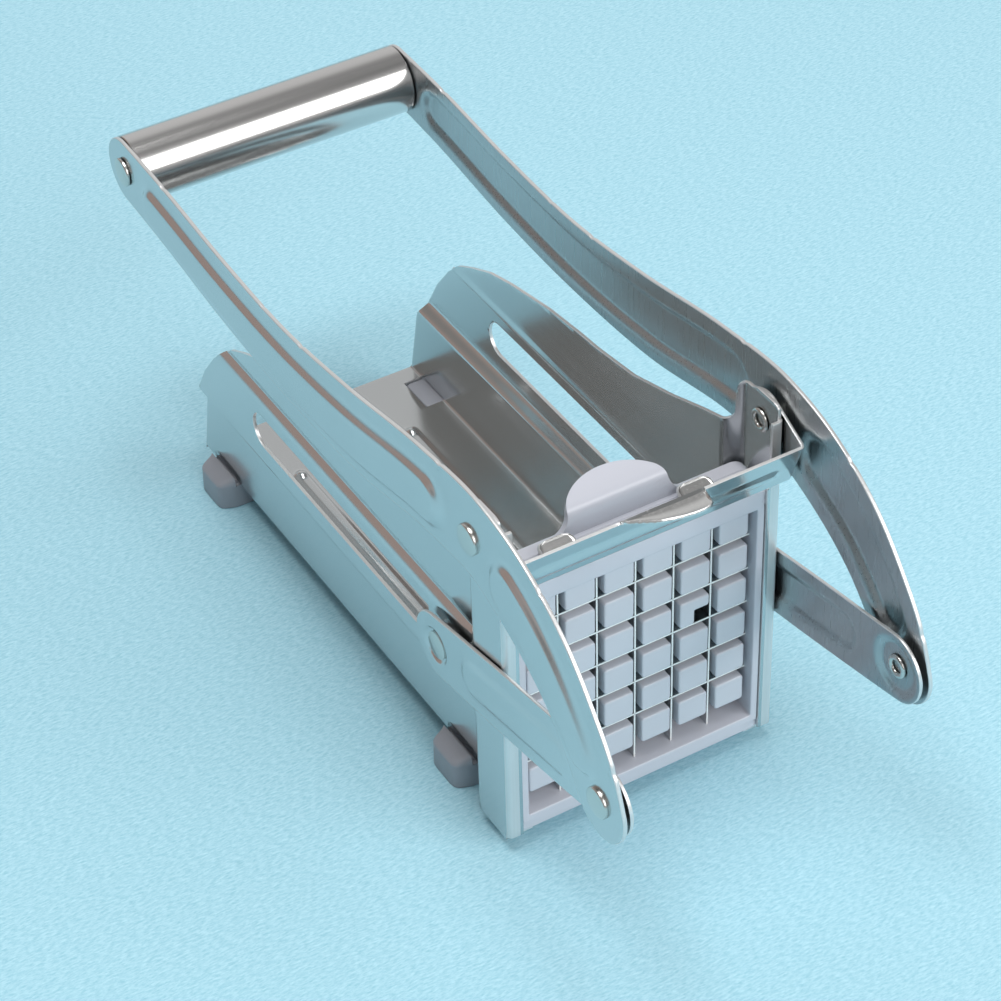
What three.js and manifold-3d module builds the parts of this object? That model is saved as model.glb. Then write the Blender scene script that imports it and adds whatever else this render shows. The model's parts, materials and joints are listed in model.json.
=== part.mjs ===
// French fry cutter: bent sheet trough, blade cartridge, finger pusher, lever with two links, flip-up clasp.
// Millimetres, +Z up. X runs across the cutter, +Y towards the rear, the grid faces -Y.
// Pieces are drawn from the middle of the blade grid and moved as a whole onto the table at the end.
import * as THREE from 'three';
import { mergeVertices } from 'three/addons/utils/BufferGeometryUtils.js';
import Module from 'manifold-3d';

const wasm = await Module();
wasm.setup();

// Blade grid
const cellPitch = 12.7;
const cellCount = 6;
const bladeThickness = 0.5;
const bladeDepth = 9;
const bladeSeat = 2.6;

// Clearances
const runningGap = 0.3;
const seatGap = 0.3;
const lapGap = 0.15;
const weldGap = 0.00001;
const cutOverrun = 1;

// Sheets
const sheet = 1.1;
const carriageSheet = 1.4;
const linkSheet = 1.1;
const armSheet = 1.3;
const claspSheet = 1.2;

// Cartridge frame round the grid
const topCover = 1.2;
const bottomSpare = 4.5;
const frameSideWall = 5.9;
const frameHeadWall = 6.7;
const frameSillWall = 5.4;
const frameInset = 0.6;
const bladeCover = 2.2;
const frameCorner = 6;
const tongueHalf = 18.4;
const tongueSetback = 2.6;
const tongueRise = 7.8;
const tongueReach = 12.4;
const tongueThick = 2.2;

// Trough
const chamberPlay = 0.2;
const floorStep = 1.3;
const troughRear = 198;
const cornerBend = 1.6;
const grooveOut = 3.7;
const ridgeOut = 1.9;
const grooveBelow = 3.2;
const grooveAbove = 0.8;
const grooveStep = 4;
const ridgeRise = 4;
const ridgeSoft = 1.2;
const beadInset = 17.8;
const beadRadius = 3.2;
const beadRearMargin = 27.5;
const beadFrontMargin = 5.5;

// Pocket and ears
const bladeSetback = 4.5;
const pocketPlay = 0.8;
const jogRun = 6.5;
const flangeWidth = 4.8;
const flangeStep = 1.1;
const flangeAbovePivot = 5.2;
const earAbovePivot = 9.5;
const earBelowPivot = 6.6;
const earShoulder = 3.6;
const earPostDrop = 1.3;
const earPostWidth = 4.6;
const earPostRadius = 2.5;
const earFillet = 3.6;
const earOverJog = 2.7;
const pocketTabReach = 8.8;
const pocketTabDepth = 12.5;

// Walls seen from the side
const wallTipSetback = 30.5;
const wallTipRise = 1.5;
const wallShoulderSetback = 6;
const wallShoulderDrop = 1;
const wallRearBulge = 4;
const slotHeight = 12.6;
const slotRearMargin = 16.8;
const slotLead = 3.5;

// Lever pivots and linkage
const pivotSetback = 9.4;
const pivotRise = 17.2;
const gripY = 214.9;
const gripZ = 58.2;
const tipY = -59.2;
const tipZ = 16.9;
const slotPinSetback = 14.3;
const slotPinZ = -0.3;

// Lever arms
const armPanelRim = 6.2;
const armPanelDrop = 1;
const armEmboss = 2.4;
const embossSlope = 3.5;
const gripEndHalf = 10.9;
const tipEndHalf = 12;
const armPivotHalf = 15;
const armBossDepth = 1;
const armBossRadius = 6.4;
const bossSlope = 2.4;

// Links
const linkHalf = 11.6;
const linkTipHalf = 11;
const linkPinHalf = 10.8;
const linkDimple = 1.3;
const linkRim = 4.8;
const linkEmboss = 1.2;
const linkBossRadius = 7.2;
const linkPanelStart = 15;
const linkPanelEnd = 19;

// Clasp
const claspForward = 17.8;
const claspAbovePivot = 1;
const claspLowForward = 12.5;
const claspLowRise = 3.7;
const claspLug = 8.6;
const claspBeadRadius = 4.2;
const claspBeadRise = 0.9;
const claspBeadMargin = 6.7;
const scoopHalf = 11.6;
const scoopReach = 6.8;
const scoopDepth = 3.4;
const keeperInner = 16.9;
const keeperWidth = 11.2;
const keeperTaper = 1.7;
const keeperReach = 7.3;
const keeperEnd = 2.9;
const keeperLift = 1.3;
const keeperCurl = 1.7;

// Pusher
const fingerStand = 1.7;
const fingerSideGap = 2.9;
const fingerTopGap = 3.5;
const fingerBevel = 0.6;
const fingerCorner = 0.8;
const headPlay = 1.8;
const headThick = 4.2;
const headSidePlay = 1.1;
const headTopPlay = 0.7;
const headFloorPlay = 0.6;
const webTopMargin = 9.9;
const webBottomMargin = 13.9;
const webSidePlay = 1.7;
const runnerPlay = 0.7;
const runnerTail = 13.2;
const runnerTall = 19;
const bushPlay = 0.4;

// Rivets, screws and grip
const rivetRadius = 2.5;
const rivetHead = 4.6;
const rivetDome = 1.3;
const eyeletRadius = 3.7;
const eyeletBore = 1.5;
const eyeletDepth = 2.4;
const pinHead = 5.2;
const pinHeadThick = 0.9;
const screwRadius = 1.5;
const screwHead = 3.2;
const screwDome = 1.2;
const screwBite = 9;
const gripRadius = 11;
const gripWall = 1.2;
const plugLength = 9;
const rodRadius = 3;

// Feet
const footDrop = 9;
const footPlugWidth = 6.2;
const footLobeStand = 1;
const footLobeWidth = 5.4;
const footLobeRise = 1.5;
const footLobeFall = 3;
const footLength = 17.4;
const footNarrowing = 2.3;
const footRound = 2;
const footFrontMargin = 14.6;
const footRearMargin = 14.4;
const footHolePlay = 0.4;

// Counts of facets
const roundFacets = 20;
const softFacets = 16;
const beadFacets = 12;
const curveSteps = 8;
const armSteps = 24;
const linkSteps = 4;
const capSteps = 6;
const holeSteps = 5;
const screwHoleSteps = 4;
const footSteps = 3;

// Stretches of the arm's line that carry a pressed panel, and the share of its facets that each gets.
const panelShares = [
  [0.069, 0.461, 0.5],
  [0.644, 0.89, 0.3],
];

// Places and widths that follow from the sizes, the blades' front edges being at Y 0
const blades = cellCount - 1;
const openingHalf = (cellPitch * cellCount) / 2;
const openingTop = openingHalf - topCover;
const openingBottom = -openingHalf - bottomSpare;
const frameTop = openingTop + frameHeadWall;
const frameBottom = openingBottom - frameSillWall;
const pocketBottom = frameBottom - runningGap - sheet;
const floorTop = openingBottom - floorStep;
const gridHeight = footDrop + sheet - floorTop;

const chamberHalf = openingHalf + chamberPlay;
const grooveHalf = chamberHalf + grooveOut;
const ridgeHalf = chamberHalf + ridgeOut;
const pocketHalf = openingHalf + frameSideWall + runningGap;
const linkInner = pocketHalf + sheet + runningGap;
const claspInner = linkInner;
const claspOuter = claspInner + claspSheet;
const armInner = linkInner + linkSheet + linkEmboss + runningGap;
const armOuter = armInner + armSheet;

const pocketFront = -bladeSetback;
const frameFront = pocketFront + frameInset;
const frameRear = bladeDepth + bladeCover;
const jogFront = frameRear + pocketPlay;
const jogRear = jogFront + jogRun;
const earRear = jogFront + earOverJog;
const headFront = frameRear + headPlay;
const carriageFront = headFront + headThick + seatGap;
const slotPinY = carriageFront + slotPinSetback;
const slotFront = slotPinY - slotHeight / 2 - slotLead;
const wallTipY = troughRear - wallTipSetback;
const wallShoulderY = troughRear - wallShoulderSetback;
const slotRear = wallTipY - slotRearMargin;

const grooveBottom = slotPinZ - runnerTall / 2 - grooveBelow;
const grooveTop = slotPinZ + runnerTall / 2 + grooveAbove;
const wallTipZ = grooveTop + ridgeRise + wallTipRise;
const wallShoulderZ = grooveBottom - grooveStep - wallShoulderDrop;

const pivotY = pocketFront + pivotSetback;
const pivotZ = frameTop + pivotRise;
const earTop = pivotZ + earAbovePivot;
const earFoot = pivotZ - earBelowPivot;
const claspTopY = pivotY - claspForward;
const claspTopZ = pivotZ + claspAbovePivot;
const claspBottomY = pivotY - claspLowForward;
const claspBottomZ = frameTop + claspLowRise;
const runnerHalf = grooveHalf - runnerPlay;
const webHalf = chamberHalf - webSidePlay;
const pinEnd = linkInner - linkDimple - runningGap;

const footPlug = chamberHalf - seatGap;
const footInner = footPlug - footPlugWidth;
const footLobeInner = chamberHalf + sheet + footLobeStand;
const footOuter = footLobeInner + footLobeWidth;

// Colours
const steelColor = 0xb4b8ba;
const brightColor = 0xc6c9cb;
const frameColor = 0xafb5bd;
const fingerColor = 0xb6bcc2;
const footColor = 0x95989e;

const group = new THREE.Group();

function material(color, metalness, roughness) {
  return new THREE.MeshStandardMaterial({ color, metalness, roughness });
}

// A closed geometry becomes a solid that can be cut and joined.
function solid(geometry) {
  const bare = geometry.index ? geometry.toNonIndexed() : geometry.clone();
  bare.deleteAttribute('normal');
  bare.deleteAttribute('uv');
  const merged = mergeVertices(bare, weldGap);
  const corners = Array.from(merged.index.array);
  const triVerts = [];
  for (let start = 0; start < corners.length; start += 3) {
    const [a, b, c] = corners.slice(start, start + 3);
    if (a !== b && b !== c && c !== a) triVerts.push(a, b, c);
  }
  return new wasm.Manifold(new wasm.Mesh({
    numProp: 3,
    vertProperties: new Float32Array(merged.attributes.position.array),
    triVerts: new Uint32Array(triVerts),
  }));
}

function geometryOf(body) {
  const mesh = body.getMesh();
  const geometry = new THREE.BufferGeometry();
  geometry.setAttribute('position', new THREE.BufferAttribute(new Float32Array(mesh.vertProperties), 3));
  geometry.setIndex(new THREE.BufferAttribute(new Uint32Array(mesh.triVerts), 1));
  geometry.computeVertexNormals();
  return geometry;
}

function joined(bodies) {
  return bodies.reduce((whole, body) => whole.add(body));
}

// Drawing planes: a side outline is drawn in Y and Z, a front outline in X and Z, a plan in X and Y.
const sidePlane = new THREE.Matrix4().makeBasis(
  new THREE.Vector3(0, 1, 0),
  new THREE.Vector3(0, 0, 1),
  new THREE.Vector3(1, 0, 0),
);
const frontPlane = new THREE.Matrix4().makeBasis(
  new THREE.Vector3(1, 0, 0),
  new THREE.Vector3(0, 0, 1),
  new THREE.Vector3(0, -1, 0),
);

function extrusion(shape, depth, plane, place, steps = curveSteps) {
  const geometry = new THREE.ExtrudeGeometry(shape, { depth, bevelEnabled: false, curveSegments: steps });
  if (plane) geometry.applyMatrix4(plane);
  geometry.translate(place.x, place.y, place.z);
  return solid(geometry);
}

function sideSlab(shape, fromX, toX, steps) {
  return extrusion(shape, toX - fromX, sidePlane, new THREE.Vector3(fromX, 0, 0), steps);
}

function frontSlab(shape, fromY, toY, steps) {
  return extrusion(shape, toY - fromY, frontPlane, new THREE.Vector3(0, toY, 0), steps);
}

function planSlab(shape, fromZ, toZ, steps) {
  return extrusion(shape, toZ - fromZ, null, new THREE.Vector3(0, 0, fromZ), steps);
}

function block(fromX, toX, fromY, toY, fromZ, toZ) {
  const geometry = new THREE.BoxGeometry(toX - fromX, toY - fromY, toZ - fromZ);
  geometry.translate((fromX + toX) / 2, (fromY + toY) / 2, (fromZ + toZ) / 2);
  return solid(geometry);
}

function polygon(points) {
  const shape = new THREE.Shape();
  shape.moveTo(points[0][0], points[0][1]);
  points.slice(1).forEach(([a, b]) => shape.lineTo(a, b));
  shape.closePath();
  return shape;
}

function ringAt(y, z, radius) {
  const shape = new THREE.Shape();
  shape.absarc(y, z, radius, 0, Math.PI * 2);
  return shape;
}

// Turned piece on an axis along X: profile points are [x, radius].
function turned(profile, y, z, facets = roundFacets) {
  const points = profile.map(([x, radius]) => new THREE.Vector2(radius, x));
  const geometry = new THREE.LatheGeometry(points, facets);
  geometry.rotateZ(-Math.PI / 2);
  geometry.translate(0, y, z);
  return solid(geometry);
}

// Outer and inner faces of a closed body as rows of points, joined along all four borders.
function sheetBody(outerRows, innerRows) {
  const rows = outerRows.length;
  const columns = outerRows[0].length;
  const points = [...outerRows.flat(), ...innerRows.flat()];
  const positions = points.flatMap((point) => [point.x, point.y, point.z]);
  const outer = (row, column) => row * columns + column;
  const inner = (row, column) => rows * columns + outer(row, column);
  const index = [];
  const quad = (a, b, c, d) => index.push(a, c, b, a, d, c);
  for (let row = 0; row < rows - 1; row += 1) {
    for (let column = 0; column < columns - 1; column += 1) {
      quad(outer(row, column), outer(row, column + 1), outer(row + 1, column + 1), outer(row + 1, column));
      quad(inner(row, column), inner(row + 1, column), inner(row + 1, column + 1), inner(row, column + 1));
    }
    quad(outer(row, 0), outer(row + 1, 0), inner(row + 1, 0), inner(row, 0));
    const last = columns - 1;
    quad(outer(row + 1, last), outer(row, last), inner(row, last), inner(row + 1, last));
  }
  for (let column = 0; column < columns - 1; column += 1) {
    quad(outer(0, column + 1), outer(0, column), inner(0, column), inner(0, column + 1));
    const last = rows - 1;
    quad(outer(last, column), outer(last, column + 1), inner(last, column + 1), inner(last, column));
  }
  return solid(indexed(positions, index));
}

function indexed(positions, index) {
  const geometry = new THREE.BufferGeometry();
  geometry.setAttribute('position', new THREE.Float32BufferAttribute(positions, 3));
  geometry.setIndex(index);
  return geometry;
}

// Convex rings joined into a closed body, the first ring seen anticlockwise from the last.
function ringBody(rings) {
  const count = rings[0].length;
  const positions = rings.flat().flatMap((point) => [point.x, point.y, point.z]);
  const index = [];
  const last = (rings.length - 1) * count;
  for (let ring = 0; ring < rings.length - 1; ring += 1) {
    for (let side = 0; side < count; side += 1) {
      const a = ring * count + side;
      const b = ring * count + ((side + 1) % count);
      index.push(a, b, b + count, a, b + count, a + count);
    }
  }
  for (let side = 1; side < count - 1; side += 1) {
    index.push(0, side + 1, side);
    index.push(last, last + side, last + side + 1);
  }
  return solid(indexed(positions, index));
}

// Two alike side outlines at two heights along X, joined into one tapered body.
function taper(lowOutline, lowX, highOutline, highX) {
  const count = lowOutline.length;
  const positions = [];
  lowOutline.forEach((point) => positions.push(lowX, point.x, point.y));
  highOutline.forEach((point) => positions.push(highX, point.x, point.y));
  const index = [];
  for (let side = 0; side < count; side += 1) {
    const next = (side + 1) % count;
    index.push(side, next, next + count, side, next + count, side + count);
  }
  THREE.ShapeUtils.triangulateShape(lowOutline, []).forEach(([a, b, c]) => {
    index.push(a, c, b);
    index.push(a + count, b + count, c + count);
  });
  return solid(indexed(positions, index));
}

function mirrored(body) {
  return body.mirror([1, 0, 0]);
}

function circleOutline(y, z, radius, facets = softFacets) {
  return Array.from({ length: facets }, (_, step) => {
    const angle = (step / facets) * Math.PI * 2;
    return new THREE.Vector2(y + radius * Math.cos(angle), z + radius * Math.sin(angle));
  });
}

// Trough

// Inner face of a side wall: one row per height, with its distance from the middle behind the jog.
const wallRows = [
  [pocketBottom - cutOverrun, chamberHalf - cornerBend],
  [floorTop - sheet, chamberHalf - cornerBend],
  [floorTop + cornerBend - sheet, chamberHalf],
  [grooveBottom - grooveStep, chamberHalf],
  [grooveBottom, grooveHalf],
  [grooveTop, grooveHalf],
  [grooveTop + ridgeSoft, grooveHalf - ridgeSoft / 3],
  [grooveTop + ridgeRise - ridgeSoft, ridgeHalf + ridgeSoft / 3],
  [grooveTop + ridgeRise, ridgeHalf],
  [earTop + cutOverrun, ridgeHalf],
];

function wallBlank() {
  const stations = [
    [pocketFront - cutOverrun, 0],
    [jogFront, 0],
    [jogRear, 1],
    [troughRear + cutOverrun, 1],
  ];
  const face = (thickness) => stations.map(([y, blend]) => wallRows.map(([z, behind]) => {
    const x = THREE.MathUtils.lerp(pocketHalf, behind, blend) + thickness;
    return new THREE.Vector3(x, y, z);
  }));
  return sheetBody(face(sheet), face(0));
}

// Height of the wall's top edge, as shares of its rise, at shares of the way from the rear tip to the ear.
const topEdgeShares = [
  [0.136, 0.286],
  [0.227, 0.364],
  [0.378, 0.477],
  [0.493, 0.535],
  [0.564, 0.54],
  [0.695, 0.625],
  [0.826, 0.77],
  [0.927, 0.904],
];

function wallOutline() {
  const shape = new THREE.Shape();
  const run = earRear + earFillet - wallTipY;
  const rise = earFoot - wallTipZ;
  const edge = topEdgeShares.map(([along, up]) => {
    return new THREE.Vector2(wallTipY + along * run, wallTipZ + up * rise);
  });
  const bottom = floorTop - sheet;
  const postTop = earTop - earPostDrop;
  shape.moveTo(pocketFront, pocketBottom);
  shape.lineTo(jogFront, pocketBottom);
  shape.lineTo(jogFront, bottom);
  shape.lineTo(troughRear, bottom);
  shape.lineTo(wallShoulderY, wallShoulderZ);
  shape.quadraticCurveTo(wallShoulderY - wallRearBulge, grooveBottom / 3, wallTipY, wallTipZ);
  shape.splineThru([...edge, new THREE.Vector2(earRear + earFillet, earFoot)]);
  shape.quadraticCurveTo(earRear, earFoot, earRear, earFoot + earFillet);
  shape.lineTo(earRear, postTop - earPostRadius);
  shape.absarc(earRear - earPostRadius, postTop - earPostRadius, earPostRadius, 0, Math.PI / 2);
  shape.lineTo(earRear - earPostWidth, postTop);
  shape.lineTo(earRear - earPostWidth - earPostDrop * 2, earTop);
  shape.lineTo(pocketFront + earShoulder, earTop);
  shape.quadraticCurveTo(pocketFront + earShoulder / 4, earTop, pocketFront, earTop - earShoulder);
  shape.closePath();
  return shape;
}

function slotOutline() {
  const radius = slotHeight / 2;
  const shape = new THREE.Shape();
  shape.absarc(slotRear - radius, slotPinZ, radius, -Math.PI / 2, Math.PI / 2);
  shape.absarc(slotFront + radius, slotPinZ, radius, Math.PI / 2, Math.PI * 1.5);
  shape.closePath();
  return shape;
}

function sideWall() {
  const farX = pocketHalf + sheet + cutOverrun;
  const nearX = chamberHalf - flangeWidth;
  const outline = sideSlab(wallOutline(), nearX, farX, curveSteps);
  const slot = sideSlab(slotOutline(), nearX, farX, curveSteps);
  const pivotHole = sideSlab(ringAt(pivotY, pivotZ, rivetRadius + runningGap), nearX, farX, curveSteps);
  const outer = pocketHalf + sheet;
  const flangeInner = outer - flangeWidth;
  const flangeRear = pocketFront + sheet;
  const flangeTop = pivotZ + flangeAbovePivot;
  const flange = joined([
    block(flangeInner, outer, pocketFront, flangeRear, pocketBottom, frameTop),
    block(flangeInner + flangeStep, outer, pocketFront, flangeRear, frameTop - sheet, flangeTop),
  ]);
  const tab = block(
    outer - pocketTabReach,
    pocketHalf + sheet / 2,
    flangeRear,
    flangeRear + pocketTabDepth,
    pocketBottom,
    pocketBottom + sheet,
  );
  return joined([wallBlank().intersect(outline), flange, tab]).subtract(slot).subtract(pivotHole);
}

// A bead is a capsule lying in the floor, pressed up from below.
function beadCapsule(side, radius) {
  const front = jogRear + beadFrontMargin;
  const rear = troughRear - beadRearMargin;
  const rod = new THREE.CapsuleGeometry(radius, rear - front, beadFacets / 4, beadFacets);
  rod.translate(side * (chamberHalf - beadInset), (rear + front) / 2, floorTop - sheet);
  return solid(rod);
}

const footPlaces = [jogRear + footFrontMargin, troughRear - footRearMargin];

function footOpening(y, side) {
  const half = footLength / 2 + footHolePlay;
  const inner = footInner - footHolePlay;
  const outer = chamberHalf + sheet + cutOverrun;
  const top = floorTop + runningGap;
  const bottom = pocketBottom - cutOverrun;
  return side > 0 ? block(inner, outer, y - half, y + half, bottom, top)
    : block(-outer, -inner, y - half, y + half, bottom, top);
}

function troughFloor() {
  const half = chamberHalf - cornerBend + sheet;
  const flat = block(-half, half, jogFront + sheet, troughRear, floorTop - sheet, floorTop);
  const above = block(-half, half, jogFront, troughRear, floorTop - sheet, floorTop + beadRadius);
  const raised = [-1, 1].map((side) => beadCapsule(side, beadRadius).intersect(above));
  const pressed = [-1, 1].map((side) => beadCapsule(side, beadRadius - sheet));
  return joined([flat, ...raised]).subtract(joined(pressed));
}

function trough() {
  const wall = sideWall();
  const body = joined([wall, mirrored(wall), troughFloor()]);
  const openings = footPlaces.flatMap((y) => [-1, 1].map((side) => footOpening(y, side)));
  return body.subtract(joined(openings));
}

// Feet: a plug in the floor's opening, a sole under it and a lobe that grips the wall from outside.
function foot() {
  const profile = new THREE.Shape();
  const underFloor = floorTop - sheet - seatGap;
  const lobeTop = floorTop + footLobeRise;
  profile.moveTo(footInner, -gridHeight);
  profile.lineTo(footOuter - footRound / 4, -gridHeight);
  profile.lineTo(footOuter, -gridHeight + footRound / 4);
  profile.lineTo(footOuter - footRound / 2, lobeTop - footLobeFall);
  const lobeEdge = footOuter - footRound / 2;
  profile.quadraticCurveTo(lobeEdge, lobeTop - footRound / 2, footLobeInner + footRound, lobeTop);
  profile.lineTo(footLobeInner, lobeTop);
  profile.lineTo(footLobeInner, underFloor);
  profile.lineTo(footPlug, underFloor);
  profile.lineTo(footPlug, floorTop);
  profile.lineTo(footInner, floorTop);
  profile.closePath();
  const plan = new THREE.Shape();
  const half = footLength / 2;
  const outerHalf = half - footNarrowing;
  plan.moveTo(footInner, -half);
  plan.lineTo(footLobeInner, -half);
  plan.lineTo(footOuter - footRound, -outerHalf - footRound / 2);
  plan.quadraticCurveTo(footOuter, -outerHalf, footOuter, -outerHalf + footRound);
  plan.lineTo(footOuter, outerHalf - footRound);
  plan.quadraticCurveTo(footOuter, outerHalf, footOuter - footRound, outerHalf + footRound / 2);
  plan.lineTo(footLobeInner, half);
  plan.lineTo(footInner, half);
  plan.closePath();
  const column = planSlab(plan, -gridHeight - cutOverrun, lobeTop + cutOverrun, footSteps);
  return frontSlab(profile, -half - cutOverrun, half + cutOverrun, footSteps).intersect(column);
}

// Cartridge frame

function frameOutline() {
  const half = pocketHalf - runningGap;
  const shape = new THREE.Shape();
  shape.moveTo(-half, frameBottom);
  shape.lineTo(half, frameBottom);
  shape.lineTo(half, frameTop - frameCorner);
  shape.absarc(half - frameCorner, frameTop - frameCorner, frameCorner, 0, Math.PI / 2);
  shape.lineTo(-half + frameCorner, frameTop);
  shape.absarc(-half + frameCorner, frameTop - frameCorner, frameCorner, Math.PI / 2, Math.PI);
  shape.closePath();
  const hole = new THREE.Path();
  hole.moveTo(-openingHalf, openingBottom);
  hole.lineTo(-openingHalf, openingTop);
  hole.lineTo(openingHalf, openingTop);
  hole.lineTo(openingHalf, openingBottom);
  hole.closePath();
  shape.holes.push(hole);
  return shape;
}

function bladeAxes() {
  return Array.from({ length: blades }, (_, step) => (step - (blades - 1) / 2) * cellPitch);
}

// Slots for the blade ends, open to the rear, so the blades drop in from behind.
function bladeSeats() {
  const half = bladeThickness / 2 + lapGap;
  const rear = frameRear + cutOverrun;
  const reach = bladeSeat + seatGap;
  const upright = bladeAxes().map((x) => {
    return block(x - half, x + half, -seatGap, rear, openingBottom - reach, openingTop + reach);
  });
  const level = bladeAxes().map((z) => {
    return block(-openingHalf - reach, openingHalf + reach, -seatGap, rear, z - half, z + half);
  });
  return joined([...upright, ...level]);
}

// The tongue rises from the frame's top and curls back; its outline narrows as half an ellipse.
const tongueNarrowShare = 0.92;
const tongueCurveShare = 2.6;

function pullTongue() {
  const stations = Array.from({ length: curveSteps }, (_, step) => step / (curveSteps - 1));
  const rings = stations.map((share) => {
    const turn = share * Math.PI / 2;
    const y = frameRear - tongueSetback + tongueReach * (1 - Math.cos(turn));
    const z = frameTop - tongueThick + (tongueRise + tongueThick) * Math.sin(turn);
    const half = tongueHalf * Math.sqrt(1 - tongueNarrowShare * share ** tongueCurveShare);
    const normal = new THREE.Vector2(Math.cos(turn) * tongueRise, Math.sin(turn) * tongueReach).normalize();
    const thick = tongueThick * (1 - share / 3);
    const backY = y + normal.x * thick;
    const backZ = z - normal.y * thick;
    return [
      new THREE.Vector3(-half, y, z),
      new THREE.Vector3(half, y, z),
      new THREE.Vector3(half, backY, backZ),
      new THREE.Vector3(-half, backY, backZ),
    ];
  });
  return ringBody(rings);
}

function cartridgeFrame() {
  const body = frontSlab(frameOutline(), frameFront, frameRear, curveSteps);
  const faceHalf = pocketHalf + sheet - flangeWidth - runningGap;
  const rebateRear = pocketFront + sheet + runningGap;
  const outer = pocketHalf + cutOverrun;
  const low = frameBottom - cutOverrun;
  const high = frameTop + cutOverrun;
  const rebates = [[faceHalf, outer], [-outer, -faceHalf]].map(([fromX, toX]) => {
    return block(fromX, toX, frameFront - cutOverrun, rebateRear, low, high);
  });
  return body.subtract(joined([...rebates, bladeSeats()])).add(pullTongue());
}

// Half-lapped blades: level blades are notched from behind, upright ones from the front.
function uprightBlade(x) {
  const outline = polygon([
    [0, openingBottom - bladeSeat],
    [bladeDepth, openingBottom - bladeSeat],
    [bladeDepth, openingTop + bladeSeat],
    [0, openingTop + bladeSeat],
  ]);
  const half = bladeThickness / 2;
  const notchHalf = half + lapGap;
  const notchRear = bladeDepth / 2 + lapGap;
  const notches = bladeAxes().map((z) => {
    return block(x - notchHalf, x + notchHalf, -cutOverrun, notchRear, z - notchHalf, z + notchHalf);
  });
  return sideSlab(outline, x - half, x + half).subtract(joined(notches));
}

function levelBlade(z) {
  const half = bladeThickness / 2;
  const reach = openingHalf + bladeSeat;
  const notchHalf = half + lapGap;
  const strip = block(-reach, reach, 0, bladeDepth, z - half, z + half);
  const rear = bladeDepth + cutOverrun;
  const notches = bladeAxes().map((x) => {
    return block(x - notchHalf, x + notchHalf, bladeDepth / 2, rear, z - notchHalf, z + notchHalf);
  });
  return strip.subtract(joined(notches));
}

// Pusher head: a plate with one finger for each cell of the grid.
function fingerRing(x, z, wide, tall, y) {
  const a = wide / 2;
  const b = tall / 2;
  const c = fingerCorner;
  const corners = [
    [-a + c, -b], [a - c, -b], [a, -b + c], [a, b - c],
    [a - c, b], [-a + c, b], [-a, b - c], [-a, -b + c],
  ];
  return corners.map(([u, v]) => new THREE.Vector3(x + u, y, z + v));
}

function finger(x, z) {
  const wide = cellPitch - fingerSideGap;
  const tall = cellPitch - fingerTopGap;
  return ringBody([
    fingerRing(x, z, wide - fingerBevel * 2, tall - fingerBevel * 2, -fingerStand).reverse(),
    fingerRing(x, z, wide, tall, fingerBevel - fingerStand).reverse(),
    fingerRing(x, z, wide, tall, headFront + headThick / 2).reverse(),
  ]);
}

// One finger is notched to an L, counted from the top row and the left column.
const notchedColumn = 4;
const notchedRow = 2;

// The screws sit behind the corners of the four middle cells' neighbours.
const screwGaugeShare = 1.5;

function screwPlaces() {
  const apart = cellPitch * screwGaugeShare;
  return [-1, 1].flatMap((up) => [-1, 1].map((side) => [side * apart, up * apart]));
}

function screwHoles(radius, fromY, toY) {
  const hole = ([x, z]) => frontSlab(ringAt(x, z, radius), fromY, toY, screwHoleSteps);
  return joined(screwPlaces().map(hole));
}

function pusherHead() {
  const half = chamberHalf - headSidePlay;
  const bottom = floorTop + beadRadius - sheet + headFloorPlay;
  const rear = headFront + headThick;
  const plate = block(-half, half, headFront, rear, bottom, openingTop - headTopPlay);
  const middle = (cellCount - 1) / 2;
  const notchRear = headFront - cutOverrun;
  const fingers = [];
  for (let row = 0; row < cellCount; row += 1) {
    for (let column = 0; column < cellCount; column += 1) {
      const x = (column - middle) * cellPitch;
      const z = (middle - row) * cellPitch;
      const whole = finger(x, z);
      const quarter = block(x, x + cellPitch, -fingerStand - cutOverrun, notchRear, z - cellPitch, z);
      fingers.push(row === notchedRow && column === notchedColumn ? whole.subtract(quarter) : whole);
    }
  }
  const holes = screwHoles(screwRadius + seatGap, rear - screwBite - seatGap, rear + cutOverrun);
  return joined([plate, ...fingers]).subtract(holes);
}

// Steel carriage behind the head: a web with two runners that slide in the wall grooves.
function carriage() {
  const front = carriageFront;
  const rear = front + carriageSheet;
  const low = slotPinZ - runnerTall / 2;
  const high = slotPinZ + runnerTall / 2;
  const webBottom = floorTop + webBottomMargin;
  const web = block(-webHalf, webHalf, front, rear, webBottom, openingTop - webTopMargin);
  const runner = block(runnerHalf - carriageSheet, runnerHalf, front, slotPinY + runnerTail, low, high);
  const flank = block(webHalf - carriageSheet, runnerHalf, front, rear, low, high);
  const side = runner.add(flank).subtract(
    sideSlab(ringAt(slotPinY, slotPinZ, rivetRadius + seatGap), webHalf, runnerHalf + cutOverrun, holeSteps),
  );
  const holes = screwHoles(screwRadius + seatGap, front - cutOverrun, rear + cutOverrun);
  return joined([web, side, mirrored(side)]).subtract(holes);
}

function headScrew(x, z) {
  const seat = carriageFront + carriageSheet + seatGap;
  const tip = headFront + headThick - screwBite;
  const points = [
    [0, tip],
    [screwRadius, tip],
    [screwRadius, seat],
    [screwHead, seat],
    [screwHead, seat + screwDome / 2],
    [screwHead / 2, seat + screwDome],
    [0, seat + screwDome],
  ];
  const geometry = new THREE.LatheGeometry(points.map(([r, y]) => new THREE.Vector2(r, y)), softFacets);
  geometry.translate(x, 0, z);
  return solid(geometry);
}

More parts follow.
